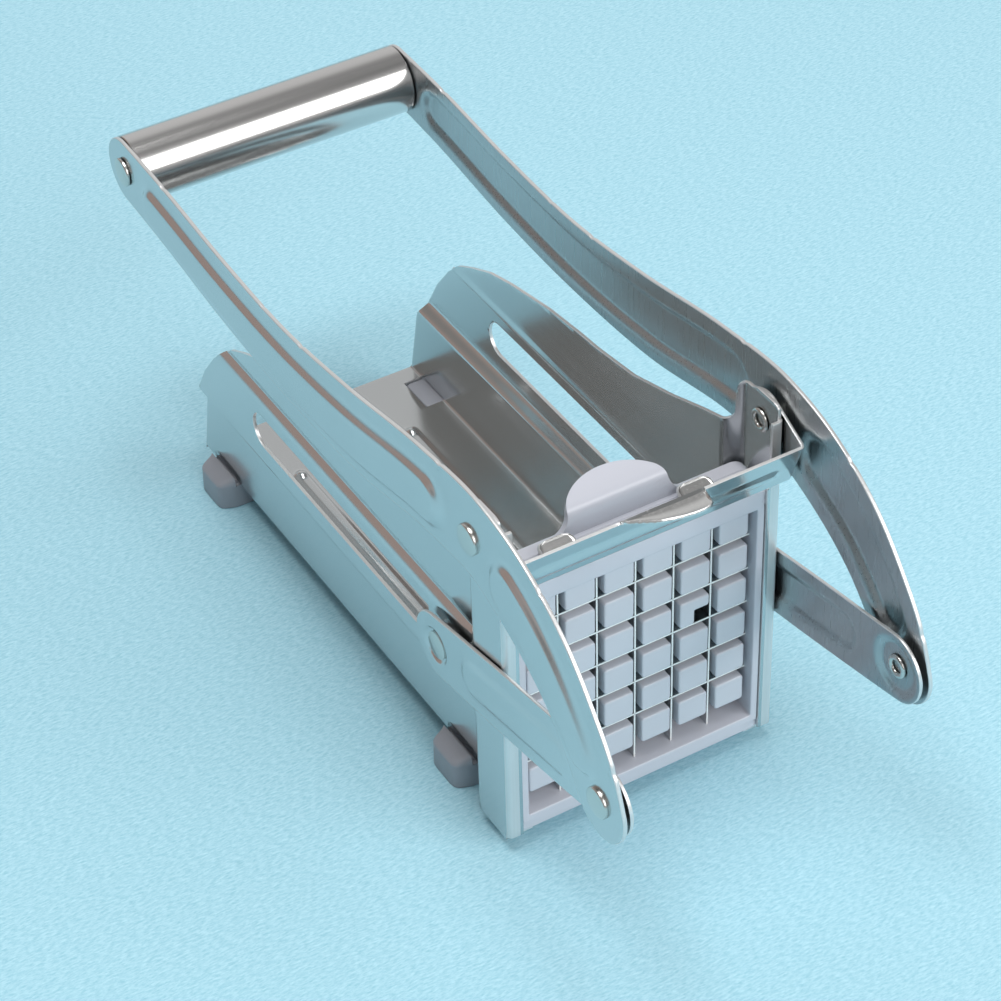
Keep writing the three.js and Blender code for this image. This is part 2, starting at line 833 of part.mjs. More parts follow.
// Pin in the runner and the bush on it that rolls in the wall's slot.
function slotPin() {
  const seat = runnerHalf - carriageSheet - seatGap;
  return turned([
    [seat - rivetDome, 0],
    [seat - rivetDome, rivetHead / 2],
    [seat - rivetDome / 2, rivetHead],
    [seat, rivetHead],
    [seat, rivetRadius],
    [pinEnd, rivetRadius],
    [pinEnd, 0],
  ], slotPinY, slotPinZ);
}

function slotBush() {
  const bore = rivetRadius + runningGap;
  const bushRadius = slotHeight / 2 - bushPlay;
  const near = runnerHalf + runningGap;
  const far = pinEnd - runningGap / 2;
  const profile = [[near, bore], [near, bushRadius], [far, bushRadius], [far, bore], [near, bore]];
  return turned(profile, slotPinY, slotPinZ);
}

// Bands: a middle line with a half width at each point, held as [y, z, half width].

// Handle side of the arm: shares of the reach to the grip, along and up, and of the width at the pivot.
const handleShares = [
  [0.881, -0.0195, 0.76],
  [0.691, -0.039, 0.807],
  [0.5, -0.0467, 0.84],
  [0.31, -0.0329, 0.933],
  [0.11, 0.001, 0.933],
  [-0.023, 0.0067, 1],
];

// Toe side of the arm: shares of the way from pivot to toe, forward and down, and of the width at the pivot.
const toeShares = [
  [0.295, 0.052, 1.027],
  [0.63, 0.314, 0.98],
  [0.789, 0.528, 0.907],
  [0.919, 0.763, 0.867],
];

function armLine() {
  const reach = gripY - pivotY;
  const handle = handleShares.map(([along, up, wide]) => {
    return new THREE.Vector3(pivotY + along * reach, pivotZ + up * reach, wide * armPivotHalf);
  });
  const toe = toeShares.map(([along, down, wide]) => {
    const y = THREE.MathUtils.lerp(pivotY, tipY, along);
    return new THREE.Vector3(y, THREE.MathUtils.lerp(pivotZ, tipZ, down), wide * armPivotHalf);
  });
  return new THREE.CatmullRomCurve3([
    new THREE.Vector3(gripY, gripZ, gripEndHalf),
    ...handle,
    ...toe,
    new THREE.Vector3(tipY, tipZ, tipEndHalf),
  ]);
}

function linkLine() {
  const ends = [[tipY, tipZ, linkTipHalf], [slotPinY, slotPinZ, linkPinHalf]];
  const [toe, pin] = ends.map(([y, z, half]) => new THREE.Vector3(y, z, half));
  const middle = toe.clone().add(pin).divideScalar(2).setZ(linkHalf);
  return new THREE.CatmullRomCurve3([toe, middle, pin]);
}

// Outline of a band from one share of its line to another, with round ends, drawn in by an inset and lowered.
function bandOutline(line, from, to, inset, steps, drop = 0) {
  const at = (share) => {
    const point = line.getPoint(share);
    const tangent = line.getTangent(share);
    return { point, half: point.z - inset, angle: Math.atan2(tangent.y, tangent.x) };
  };
  const edge = (share, turn) => {
    const { point, half, angle } = at(share);
    const y = point.x + half * Math.cos(angle + turn) - drop * Math.sin(angle);
    return new THREE.Vector2(y, point.y + half * Math.sin(angle + turn) + drop * Math.cos(angle));
  };
  const shares = Array.from({ length: steps + 1 }, (_, step) => THREE.MathUtils.lerp(from, to, step / steps));
  const capTurns = Array.from({ length: capSteps - 1 }, (_, step) => ((step + 1) / capSteps) * Math.PI);
  return [
    ...shares.map((share) => edge(share, -Math.PI / 2)),
    ...capTurns.map((turn) => edge(to, turn - Math.PI / 2)),
    ...shares.reverse().map((share) => edge(share, Math.PI / 2)),
    ...capTurns.map((turn) => edge(from, turn + Math.PI / 2)),
  ];
}

// Sheet metal pressed outwards (to higher X) inside an outline, or inwards when the rise is negative.
function pressed(plate, outline, inset, plateInner, thickness, rise) {
  const base = plateInner + (rise < 0 ? thickness : 0);
  const crest = plateInner + (rise < 0 ? rise : thickness + rise);
  const back = rise < 0 ? thickness : -thickness;
  const form = (shift) => {
    const low = [outline, base + shift];
    const high = [inset, crest + shift];
    return rise < 0 ? taper(...high, ...low) : taper(...low, ...high);
  };
  return plate.add(form(0)).subtract(form(back));
}

function hole(y, z, radius) {
  return sideSlab(ringAt(y, z, radius), claspInner - rivetHead, armOuter + rivetHead, holeSteps);
}

function leverArm() {
  const line = armLine();
  let arm = sideSlab(new THREE.Shape(bandOutline(line, 0, 1, 0, armSteps)), armInner, armOuter);
  panelShares.forEach(([from, to, stepShare]) => {
    const steps = Math.round(armSteps * stepShare);
    const low = bandOutline(line, from, to, armPanelRim, steps, armPanelDrop);
    const high = bandOutline(line, from, to, armPanelRim + embossSlope, steps, armPanelDrop);
    arm = pressed(arm, low, high, armInner, armSheet, armEmboss);
  });
  const bossLow = circleOutline(pivotY, pivotZ, armBossRadius + bossSlope);
  const bossHigh = circleOutline(pivotY, pivotZ, armBossRadius);
  arm = pressed(arm, bossLow, bossHigh, armInner, armSheet, -armBossDepth);
  const holes = [
    hole(pivotY, pivotZ, rivetRadius + runningGap),
    hole(tipY, tipZ, rivetRadius + runningGap),
    hole(gripY, gripZ, rodRadius + seatGap),
  ];
  return arm.subtract(joined(holes));
}

function link() {
  const line = linkLine();
  const length = Math.hypot(slotPinY - tipY, slotPinZ - tipZ);
  const from = (linkPanelEnd + linkHalf - linkRim) / length;
  const to = 1 - (linkPanelStart + linkHalf - linkRim) / length;
  const blank = new THREE.Shape(bandOutline(line, 0, 1, 0, linkSteps));
  let plate = sideSlab(blank, linkInner, linkInner + linkSheet);
  const panelLow = bandOutline(line, from, to, linkRim, linkSteps);
  const panelHigh = bandOutline(line, from, to, linkRim + bossSlope, linkSteps);
  plate = pressed(plate, panelLow, panelHigh, linkInner, linkSheet, linkEmboss);
  const bossAt = (y, z, rise) => {
    const low = circleOutline(y, z, linkBossRadius + bossSlope);
    const high = circleOutline(y, z, linkBossRadius);
    plate = pressed(plate, low, high, linkInner, linkSheet, rise);
  };
  bossAt(tipY, tipZ, linkEmboss);
  bossAt(slotPinY, slotPinZ, -linkDimple);
  const holes = [
    hole(tipY, tipZ, rivetRadius + runningGap),
    hole(slotPinY, slotPinZ, rivetRadius + runningGap),
  ];
  return plate.subtract(joined(holes));
}

// Low domed head along X on a seat, as [x, radius]: shares of the dome's height and of its radius.
const domeShares = [[0, 1], [0.33, 1], [0.8, 0.7], [1, 0]];

function domedHead(seat) {
  return domeShares.map(([up, wide]) => [seat + rivetDome * up, rivetHead * wide]);
}

// Rivet along X: a hollow flared eyelet at the inner end and a low domed head at the outer end.
function flaredRivet(innerFace, outerFace, y, z) {
  const flareEnd = innerFace - seatGap;
  const flareStart = flareEnd - rivetDome / 2;
  const headStart = outerFace + seatGap;
  return turned([
    [flareStart + eyeletDepth, 0],
    [flareStart + eyeletDepth, eyeletBore],
    [flareStart, rivetRadius],
    [flareStart, eyeletRadius - rivetDome / 4],
    [flareEnd, eyeletRadius],
    [flareEnd, rivetRadius],
    [headStart, rivetRadius],
    ...domedHead(headStart),
  ], y, z);
}

function pivotRivet() {
  return flaredRivet(pocketHalf, armOuter - armBossDepth, pivotY, pivotZ);
}

function toeRivet() {
  return flaredRivet(linkInner + linkEmboss, armOuter, tipY, tipZ);
}

// Flat outer head of the slot pin, seated in the link's dimple; its stub ends flush with the pin.
function slotPinHead() {
  const stub = pinEnd + seatGap;
  const seat = linkInner - linkDimple + linkSheet + seatGap;
  return turned([
    [stub, 0],
    [stub, rivetRadius],
    [seat, rivetRadius],
    [seat, pinHead],
    [seat + pinHeadThick, pinHead],
    [seat + pinHeadThick, 0],
  ], slotPinY, slotPinZ);
}

// Grip
function gripTube() {
  const end = armInner - seatGap;
  const bore = gripRadius - gripWall;
  const profile = [[-end, bore], [-end, gripRadius], [end, gripRadius], [end, bore], [-end, bore]];
  return turned(profile, gripY, gripZ);
}

function gripPlug() {
  const end = armInner - seatGap;
  const outer = gripRadius - gripWall - seatGap;
  const bore = rodRadius + seatGap;
  const start = end - plugLength;
  return turned([[start, bore], [start, outer], [end, outer], [end, bore], [start, bore]], gripY, gripZ);
}

function gripRod() {
  const seat = armOuter + seatGap;
  const half = [[seat, rodRadius], ...domedHead(seat)];
  const other = half.map(([x, radius]) => [-x, radius]).reverse();
  return turned([...other, ...half], gripY, gripZ);
}

// Clasp

function tangentAngle(y, z, side) {
  const away = Math.hypot(y - pivotY, z - pivotZ);
  return Math.atan2(z - pivotZ, y - pivotY) + side * Math.acos(claspLug / away);
}

function claspSide() {
  const shape = new THREE.Shape();
  const top = tangentAngle(claspTopY, claspTopZ, -1);
  const bottom = tangentAngle(claspBottomY, claspBottomZ, 1);
  shape.moveTo(claspBottomY, claspBottomZ);
  shape.absarc(pivotY, pivotZ, claspLug, bottom, top + Math.PI * 2);
  shape.lineTo(claspTopY, claspTopZ);
  shape.closePath();
  const opening = hole(pivotY, pivotZ, rivetRadius + runningGap);
  return sideSlab(shape, claspInner, claspOuter).subtract(opening);
}

// Along the band's tilt upwards, and across it towards the rear.
function bandFrame() {
  const up = new THREE.Vector2(claspTopY - claspBottomY, claspTopZ - claspBottomZ);
  const height = up.length();
  up.normalize();
  return { up, back: new THREE.Vector2(up.y, -up.x), height };
}

function bandPoint(share, depth) {
  const { up, back, height } = bandFrame();
  return [
    claspBottomY + up.x * share * height + back.x * depth,
    claspBottomZ + up.y * share * height + back.y * depth,
  ];
}

// Height of the band's bead on its front face, as a share of the band.
const claspBeadShare = 0.42;

function claspBand() {
  const plate = polygon([
    bandPoint(0, 0),
    bandPoint(0, claspSheet),
    bandPoint(1, claspSheet),
    bandPoint(1, 0),
  ]);
  const front = polygon([
    bandPoint(0, -scoopReach),
    bandPoint(0, claspSheet),
    bandPoint(1, claspSheet),
    bandPoint(1, -scoopReach),
  ]);
  const [beadY, beadZ] = bandPoint(claspBeadShare, claspBeadRadius - claspBeadRise);
  const bead = (radius) => {
    const length = (claspInner - claspBeadMargin - claspBeadRadius) * 2;
    const rod = new THREE.CapsuleGeometry(radius, length, holeSteps, softFacets);
    rod.rotateZ(Math.PI / 2);
    rod.translate(0, beadY, beadZ);
    return solid(rod);
  };
  const raised = bead(claspBeadRadius).intersect(sideSlab(front, -claspInner, claspInner));
  return sideSlab(plate, -claspOuter, claspOuter).add(raised).subtract(bead(claspBeadRadius - claspSheet));
}

// Thumb scoop: the lower front quarter of a hollow ellipsoid under the band's top edge.
function claspScoop() {
  const bowl = (inset) => {
    const ball = new THREE.SphereGeometry(1, softFacets, softFacets / 2);
    ball.scale(scoopHalf - inset, scoopReach - inset, scoopDepth - inset);
    ball.translate(0, claspTopY, claspTopZ);
    return solid(ball);
  };
  const keep = polygon([
    bandPoint(0, claspSheet / 2),
    bandPoint(1, claspSheet / 2),
    [claspTopY - scoopReach * 2, claspTopZ],
    [claspTopY - scoopReach * 2, claspBottomZ],
  ]);
  return bowl(0).intersect(sideSlab(keep, -scoopHalf * 2, scoopHalf * 2)).subtract(bowl(claspSheet));
}

// Keepers reach back from the band's lower edge over the cartridge, with their ends turned up.
function claspKeeper() {
  const [startY, startZ] = bandPoint(0, claspSheet / 2);
  const lowY = frameFront + keeperReach;
  const endY = lowY + keeperEnd;
  const lowZ = frameTop + keeperLift;
  const endZ = lowZ + keeperCurl;
  const outer = keeperInner + keeperWidth;
  const strip = polygon([
    [startY - claspSheet / 2, startZ],
    [lowY / 2, lowZ],
    [lowY, lowZ],
    [endY, endZ],
    [endY - claspSheet / 2, endZ + claspSheet],
    [lowY - claspSheet / 2, lowZ + claspSheet],
    [lowY / 2, lowZ + claspSheet],
    [startY + claspSheet / 2, startZ + claspSheet],
  ]);
  const plan = polygon([
    [keeperInner, claspTopY],
    [outer, claspTopY],
    [outer, lowY],
    [outer - keeperTaper / 3, endY - keeperTaper],
    [outer - keeperTaper, endY],
    [keeperInner + keeperTaper, endY],
    [keeperInner + keeperTaper / 3, endY - keeperTaper],
    [keeperInner, lowY],
  ]);
  const column = planSlab(plan, frameBottom, claspTopZ);
  return sideSlab(strip, keeperInner - cutOverrun, outer + cutOverrun).intersect(column);
}

function clasp() {
  const side = claspSide();
  const keeper = claspKeeper();
  return joined([claspBand(), side, mirrored(side), claspScoop(), keeper, mirrored(keeper)]);
}

// Assembly

const cutter = new THREE.Group();
const frontReach = tipY - tipEndHalf;
const rearReach = gripY + gripRadius;
cutter.position.set(0, -(frontReach + rearReach) / 2, gridHeight);
group.add(cutter);

function addPiece(name, body, finish) {
  const mesh = new THREE.Mesh(geometryOf(body), finish);
  mesh.name = name;
  cutter.add(mesh);
}

function addPair(name, body, finish) {
  addPiece(`${name}_right`, body, finish);
  addPiece(`${name}_left`, mirrored(body), finish);
}

const steel = material(steelColor, 0.95, 0.32);
const brightSteel = material(brightColor, 1, 0.22);
const framePlastic = material(frameColor, 0, 0.42);
const fingerPlastic = material(fingerColor, 0, 0.4);
const footPlastic = material(footColor, 0, 0.5);

addPiece('trough', trough(), steel);
['front', 'rear'].forEach((end, step) => {
  addPair(`foot_${end}`, foot().translate([0, footPlaces[step], 0]), footPlastic);
});
addPiece('cartridge_frame', cartridgeFrame(), framePlastic);
bladeAxes().forEach((x, step) => addPiece(`blade_upright_${step + 1}`, uprightBlade(x), brightSteel));
bladeAxes().forEach((z, step) => addPiece(`blade_level_${step + 1}`, levelBlade(z), brightSteel));
addPair('pivot_rivet', pivotRivet(), brightSteel);
addPiece('pusher_head', pusherHead(), fingerPlastic);
addPiece('pusher_carriage', carriage(), steel);
screwPlaces().forEach(([x, z], step) => addPiece(`head_screw_${step + 1}`, headScrew(x, z), brightSteel));
addPair('slot_pin', slotPin(), brightSteel);
addPair('slot_bush', slotBush(), brightSteel);
addPair('lever_arm', leverArm(), steel);
addPiece('grip_tube', gripTube(), steel);
addPair('grip_plug', gripPlug(), footPlastic);
addPiece('grip_rod', gripRod(), brightSteel);
addPair('toe_rivet', toeRivet(), brightSteel);
addPair('link', link(), steel);
addPair('slot_pin_head', slotPinHead(), brightSteel);
addPiece('clasp', clasp(), steel);

export default group;
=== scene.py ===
# %% [markdown]
# # A French fry cutter in bent sheet steel and grey plastic
#
# The cutter is a kitchen tool: a lever draws a block of fingers through a steel trough and
# pushes a potato through a grid of blades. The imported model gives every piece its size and
# its place. Here each visible piece gets the fine surface and the finish of the real one.

import json
import math

import bmesh
import bpy
import numpy as np
from mathutils import Matrix, Vector


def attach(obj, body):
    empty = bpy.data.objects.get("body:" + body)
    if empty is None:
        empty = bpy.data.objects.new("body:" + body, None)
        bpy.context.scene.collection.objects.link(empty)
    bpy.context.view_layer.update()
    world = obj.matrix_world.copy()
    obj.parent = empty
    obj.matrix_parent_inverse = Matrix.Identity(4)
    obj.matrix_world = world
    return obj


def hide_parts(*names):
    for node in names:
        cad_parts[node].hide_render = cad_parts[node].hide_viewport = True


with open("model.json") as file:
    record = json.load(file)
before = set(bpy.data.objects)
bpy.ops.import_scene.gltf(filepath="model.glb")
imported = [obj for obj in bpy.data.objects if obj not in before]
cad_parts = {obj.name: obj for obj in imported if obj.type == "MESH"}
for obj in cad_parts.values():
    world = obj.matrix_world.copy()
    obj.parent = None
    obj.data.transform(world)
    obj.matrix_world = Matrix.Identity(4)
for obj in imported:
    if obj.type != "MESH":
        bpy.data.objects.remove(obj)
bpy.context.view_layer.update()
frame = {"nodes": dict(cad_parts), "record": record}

# %% [markdown]
# All outlines below are drawn in millimetres from the middle of the blade grid, because the
# grid is what the tool is built round. One function moves such points onto the table and
# turns them into metres.

# %% Drawing space
MM = 0.001
GRID_HEIGHT = 54.0
GRID_TO_MIDDLE = -77.35
TABLE_SHIFT = np.array([0.0, GRID_TO_MIDDLE, GRID_HEIGHT])


def placed(points):
    """Points in millimetres from the grid's middle, moved onto the table, in metres."""
    return (np.asarray(points, dtype=float) + TABLE_SHIFT) * MM


print("grid middle on the table:", placed([0, 0, 0]))

# %% [markdown]
# A surface made from two parameters is a table of points. Each little square of the table
# becomes a face, and Blender takes the whole table at once, which is much faster than
# adding points one by one. Solid pieces are stacks of closed outlines with a cap at each end.

# %% Mesh helpers
collection = bpy.context.scene.collection


def surface(x, y, z):
    """Point table (rows, columns, 3) from three arrays that are stretched to the same shape."""
    return np.stack(np.broadcast_arrays(x, y, z), axis=2)


def grid_faces(rows, columns, wrap=False, keep=None):
    """Corner numbers of a table's squares; wrap closes its columns; keep leaves some squares out.

    The point in row r and column c has number r times the columns plus c.
    """
    index = np.arange(rows * columns).reshape(rows, columns)
    right = np.roll(index, -1, axis=1)
    last = columns if wrap else columns - 1
    quads = np.stack([index[:-1], right[:-1], right[1:], index[1:]], axis=-1)[:, :last]
    quads = quads.reshape(-1, 4)
    return quads if keep is None else quads[np.asarray(keep).reshape(-1)]


def mesh_piece(name, points, faces, caps=()):
    """One object from points (n, 3) in metres, a table of squares and a few many-sided caps."""
    polygons = np.asarray(faces).tolist() + [list(cap) for cap in caps]
    mesh = bpy.data.meshes.new(name)
    mesh.from_pydata(np.asarray(points).reshape(-1, 3).tolist(), [], polygons)
    mesh.validate()
    piece = bpy.data.objects.new(name, mesh)
    collection.objects.link(piece)
    return piece


def stack_piece(name, stacks, first_cap=True):
    """One object from stacks of closed outlines in millimetres, each (outlines, points, 3)."""
    points, faces, caps, count = [], [], [], 0
    for stack in stacks:
        rows, loop = stack.shape[:2]
        points.append(stack.reshape(-1, 3))
        faces.append(grid_faces(rows, loop, wrap=True) + count)
        if first_cap:
            caps.append(range(count, count + loop))
        count += rows * loop
        caps.append(range(count - loop, count))
    return mesh_piece(name, placed(np.concatenate(points)), np.concatenate(faces), caps)


def clean(piece, merge=1e-6):
    """Merges doubled points, closes poles and turns every face outwards."""
    work = bmesh.new()
    work.from_mesh(piece.data)
    bmesh.ops.remove_doubles(work, verts=work.verts, dist=merge)
    bmesh.ops.dissolve_degenerate(work, edges=work.edges, dist=merge)
    bmesh.ops.recalc_face_normals(work, faces=work.faces)
    work.to_mesh(piece.data)
    work.free()
    return piece


def smooth(piece, angle=35):
    """Smooth shading, with edges sharper than the angle kept crisp."""
    piece.data.shade_smooth()
    piece.data.set_sharp_from_angle(angle=math.radians(angle))
    return piece


print("mesh helpers ready, first square of a 2 by 2 table:", grid_faces(2, 2)[0])

# %% [markdown]
# A sheet gets its thickness from Solidify, and Bevel rounds its sheared edges a little, as a
# press leaves them. Some pieces show more than one finish, such as a rolled face and a cut
# edge. Their faces are marked with the number of the finish before the materials come.

# %% Finishing helpers
def face_centres(piece):
    """Middles of a piece's faces, in millimetres from the grid's middle."""
    centres = np.empty(3 * len(piece.data.polygons))
    piece.data.polygons.foreach_get("center", centres)
    return centres.reshape(-1, 3) / MM - TABLE_SHIFT


def mark_faces(piece, marks):
    """Gives each face the number of its finish."""
    piece.data.polygons.foreach_set("material_index", np.asarray(marks, dtype=np.int32))


def modifier(piece, kind, **settings):
    """Adds a modifier and its settings."""
    added = piece.modifiers.new(kind.title(), kind)
    for key, value in settings.items():
        setattr(added, key, value)


def sheet_wall(piece, thickness, offset=-1.0, even=True):
    """Gives a single surface the thickness of its sheet, in metres; its rim takes the next finish."""
    modifier(
        piece,
        "SOLIDIFY",
        thickness=thickness,
        offset=offset,
        use_even_offset=even,
        material_offset_rim=1,
    )


def eased(piece, width, segments=2, angle=40):
    """Rounds the edges of a piece that turn by more than the angle."""
    modifier(
        piece,
        "BEVEL",
        width=width,
        segments=segments,
        limit_method="ANGLE",
        angle_limit=math.radians(angle),
        harden_normals=False,
    )


def finish_piece(piece, material, body, slot, *nodes, others=()):
    """Material, body, slot and the solids that the piece stands for; others are for marked faces.
    The slot is not used.

    The faces' marks are read first and set again last, because clearing the materials resets them.
    """
    marked = np.zeros(len(piece.data.polygons), dtype=np.int32)
    piece.data.polygons.foreach_get("material_index", marked)
    piece.data.materials.clear()
    piece.data.materials.append(material)
    for other in others:
        piece.data.materials.append(other)
    if others:
        mark_faces(piece, marked)
    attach(piece, body)
    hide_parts(*nodes)


print("finishing helpers ready")

# %% [markdown]
# Shader maths reads best as ordinary maths. The class below wraps an output socket, so
# that writing `a * b + 1` adds the Math nodes for it.

# %% Shader values
class Value:
    """An output socket with operators; each operator adds one Math node."""

    def __init__(self, graph, socket):
        self.graph = graph
        self.socket = socket

    def calc(self, operation, *others):
        return self.graph.node("ShaderNodeMath", operation=operation, inputs=[self, *others])

    def __add__(self, other):
        return self.calc("ADD", other)

    def __sub__(self, other):
        return self.calc("SUBTRACT", other)

    def __mul__(self, other):
        return self.calc("MULTIPLY", other)

    def __truediv__(self, other):
        return self.calc("DIVIDE", other)

    def __rsub__(self, other):
        return self.graph.node("ShaderNodeMath", operation="SUBTRACT", inputs=[other, self])

    __radd__ = __add__
    __rmul__ = __mul__


print("shader values ready")

# %% [markdown]
# Every material starts as a new node tree with its main shader. One method adds any node
# with its settings and links, and a few short ones stand for the nodes that come up most.

# %% Material builder
class Graph:
    """A material, or the world, under construction."""

    def __init__(self, name, world=False):
        self.material = (bpy.data.worlds if world else bpy.data.materials).new(name)
        self.material.use_nodes = True
        self.tree = self.material.node_tree
        self.shader = self.tree.nodes["Background" if world else "Principled BSDF"]

    def node(self, kind, inputs=(), output=0, **settings):
        """Adds a node: settings first, then values or links by socket number or name."""
        made = self.tree.nodes.new(kind)
        stops = settings.pop("stops", None)
        for key, value in settings.items():
            setattr(made, key, value)
        if stops:
            ramp = made.color_ramp.elements
            while len(ramp) < len(stops):
                ramp.new(0.5)
            for stop, (place, shade) in zip(ramp, stops):
                stop.position = place
                stop.color = (shade, shade, shade, 1.0) if np.isscalar(shade) else (*shade, 1.0)
        pairs = inputs.items() if isinstance(inputs, dict) else enumerate(inputs)
        for key, value in pairs:
            self.put(made.inputs[key], value)
        return Value(self, made.outputs[output])

    def put(self, socket, value):
        """Links a Value to a socket, or sets the socket's own value."""
        if isinstance(value, Value):
            self.tree.links.new(value.socket, socket)
        else:
            socket.default_value = value

    def set(self, **values):
        """Sets sockets of the main shader: base_color means Base Color."""
        for key, value in values.items():
            self.put(self.shader.inputs[key.replace("_", " ").title()], value)

    def place(self, scale=(1, 1, 1), rotation=(0, 0, 0)):
        """Object coordinates, scaled and turned, in metres."""
        coordinates = self.node("ShaderNodeTexCoord", output="Object")
        return self.node(
            "ShaderNodeMapping", inputs={"Vector": coordinates, "Scale": scale, "Rotation": rotation}
        )

    def noise(self, vector, scale, detail=4.0, rough=0.6):
        """Cloudy noise with about scale lumps to the metre."""
        return self.node(
            "ShaderNodeTexNoise",
            inputs={"Vector": vector, "Scale": scale, "Detail": detail, "Roughness": rough},
        )

    def ramp(self, value, low, high, shade_low=0.0, shade_high=1.0):
        """A soft step: shade_low below low, shade_high above high."""
        limits = {"From Min": low, "From Max": high, "To Min": shade_low, "To Max": shade_high}
        return self.node("ShaderNodeMapRange", inputs={"Value": value, **limits})

    def blend(self, factor, low, high):
        """Mixes two colours by a factor."""
        mix = self.tree.nodes.new("ShaderNodeMix")
        mix.data_type = "RGBA"
        self.put(mix.inputs["Factor"], factor)
        for socket, value in zip((mix.inputs[6], mix.inputs[7]), (low, high)):
            self.put(socket, value if isinstance(value, Value) else (*value, 1.0))
        return Value(self, mix.outputs[2])

    def bump(self, height, distance, strength=1.0):
        """A relief of the height, distance metres deep."""
        return self.node(
            "ShaderNodeBump",
            inputs={"Height": height, "Distance": distance, "Strength": strength},
        )


print("material builder ready")

# %% [markdown]
# Stainless sheet is rolled and brushed: thousands of fine scratches run one way. They
# hardly show as colour, but they blur reflections across the grain. Noise stretched along
# one axis gives them; a second, slow noise gives the faint cloudiness of handled steel.

# %% Brushed steel
ACROSS, ALONG, UPRIGHT = 0, 1, 2
SCRATCHES_PER_METRE, SCRATCH_STRETCH = 2400.0, 0.006
CLOUDS_PER_METRE = 26.0
WORN_SHARE = 0.6


def brushed_steel(name, colour, grain, roughness, spread=0.03, depth=6e-7, cloud=0.04, metal=1.0):
    """Noise squeezed along the grain shades the colour, the roughness and a relief depth metres deep."""
    graph = Graph(name)
    squeeze = [1.0, 1.0, 1.0]
    squeeze[grain] = SCRATCH_STRETCH
    lines = graph.noise(graph.place(scale=tuple(squeeze)), SCRATCHES_PER_METRE, detail=3.0, rough=0.7)
    slow = graph.noise(graph.place(), CLOUDS_PER_METRE, detail=2.0)
    shade = graph.ramp(lines, 0.3, 0.7, 1.0 - cloud, 1.0) * graph.ramp(slow, 0.3, 0.7, 1.0 - cloud, 1.0)
    dark = tuple(c * WORN_SHARE for c in colour)
    graph.set(
        base_color=graph.blend(shade, dark, colour),
        metallic=metal,
        roughness=graph.ramp(lines, 0.25, 0.75, roughness - spread, roughness + spread),
        normal=graph.bump(lines, depth),
    )
    return graph.material


STEEL = (0.62, 0.64, 0.645)
sheet_y = brushed_steel("sheet_steel_lengthwise", STEEL, ALONG, 0.19, depth=3e-7)
sheet_x = brushed_steel("sheet_steel_across", STEEL, ACROSS, 0.15)
sheet_z = brushed_steel("sheet_steel_upright", STEEL, UPRIGHT, 0.19, 0.05, depth=5e-7, cloud=0.07)
# Rougher steel for the inner faces of arms and links; its darker colour is painted shade.
sheet_inner_shaded = brushed_steel("sheet_steel_inner_shaded", (0.47, 0.49, 0.5), UPRIGHT, 0.3, 0.06, 5e-7, 0.1)
grip_steel = brushed_steel("grip_steel", (0.7, 0.69, 0.68), ACROSS, 0.19, spread=0.04)
rivet_steel = brushed_steel("rivet_steel", (0.66, 0.65, 0.62), UPRIGHT, 0.24, cloud=0.1)
# Near-black steel for the rivets' bores: the dark inside the holes is painted shade.
bore_shade_steel = brushed_steel("bore_shade_steel", (0.1, 0.095, 0.09), UPRIGHT, 0.4)
cut_steel = brushed_steel("cut_steel", (0.78, 0.78, 0.78), UPRIGHT, 0.36, 0.08, 3e-6, 0.2, metal=0.75)
lip_steel = brushed_steel("lip_steel", (0.74, 0.74, 0.73), ALONG, 0.24, 0.04, 2e-7, 0.08)
print("sheet colour:", STEEL, "and eight more steels")

# %% [markdown]
# A blade is bright steel too, but its front edge was ground sharp, and ground steel is matt and
# looks white. One material can hold both: the place along the cutter says which of them a
# point has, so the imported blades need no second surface.

# %% Blade steel
GROUND_WIDTH = 0.0003


def ground_blade(name, edge):
    """Bright steel, and matt white steel within the ground width behind the place edge along Y."""
    graph = Graph(name)
    along = graph.node("ShaderNodeSeparateXYZ", inputs=[graph.place()], output=ALONG)
    ground = graph.ramp(along, edge, edge + GROUND_WIDTH, 1.0, 0.0)
    graph.set(
        base_color=graph.blend(ground, (0.6, 0.62, 0.62), (0.95, 0.95, 0.93)),
        metallic=1.0 - ground * 0.5,
        roughness=ground * 0.4 + 0.16,
    )
    return graph.material


blade_steel = ground_blade("blade_steel", GRID_TO_MIDDLE * MM)
print("blade edge at y", GRID_TO_MIDDLE * MM, "m")

# %% [markdown]
# The plastic is a glossy light grey with a cool cast. Moulded plastic is never perfectly
# even: a fine orange peel bends its reflections, and scuffs take off a little of the gloss.
# Between the fingers hardly any light comes back, so the plastic is darker at their roots.

# %% Plastic
TONES_PER_METRE, SCUFFS_PER_METRE, PEEL_PER_METRE = 30.0, 160.0, 900.0
TONE_SHARE, ROOT_SHARE = 0.97, 0.4
ROOTS = (-0.0755, -0.0685)


def moulded_plastic(name, colour, roughness, peel=2e-6, roots=None):
    """Slow noise shades the colour, finer noise the gloss, and the finest is a relief peel deep.

    Roots is the span along Y, from and to, over which the plastic grows dark.
    """
    graph = Graph(name)
    slow = graph.noise(graph.place(), TONES_PER_METRE, detail=2.0)
    skin = graph.noise(graph.place(), PEEL_PER_METRE, detail=2.0)
    scuffs = graph.noise(graph.place(), SCUFFS_PER_METRE, detail=3.0)
    shade = graph.blend(graph.ramp(slow, 0.3, 0.7), tuple(c * TONE_SHARE for c in colour), colour)
    if roots:
        along = graph.node("ShaderNodeSeparateXYZ", inputs=[graph.place()], output=ALONG)
        dark = tuple(c * ROOT_SHARE for c in colour)
        shade = graph.blend(graph.ramp(along, *roots), shade, dark)
    graph.set(
        base_color=shade,
        roughness=graph.ramp(scuffs, 0.35, 0.75, roughness, roughness + 0.015),
        normal=graph.bump(skin, peel),
    )
    return graph.material


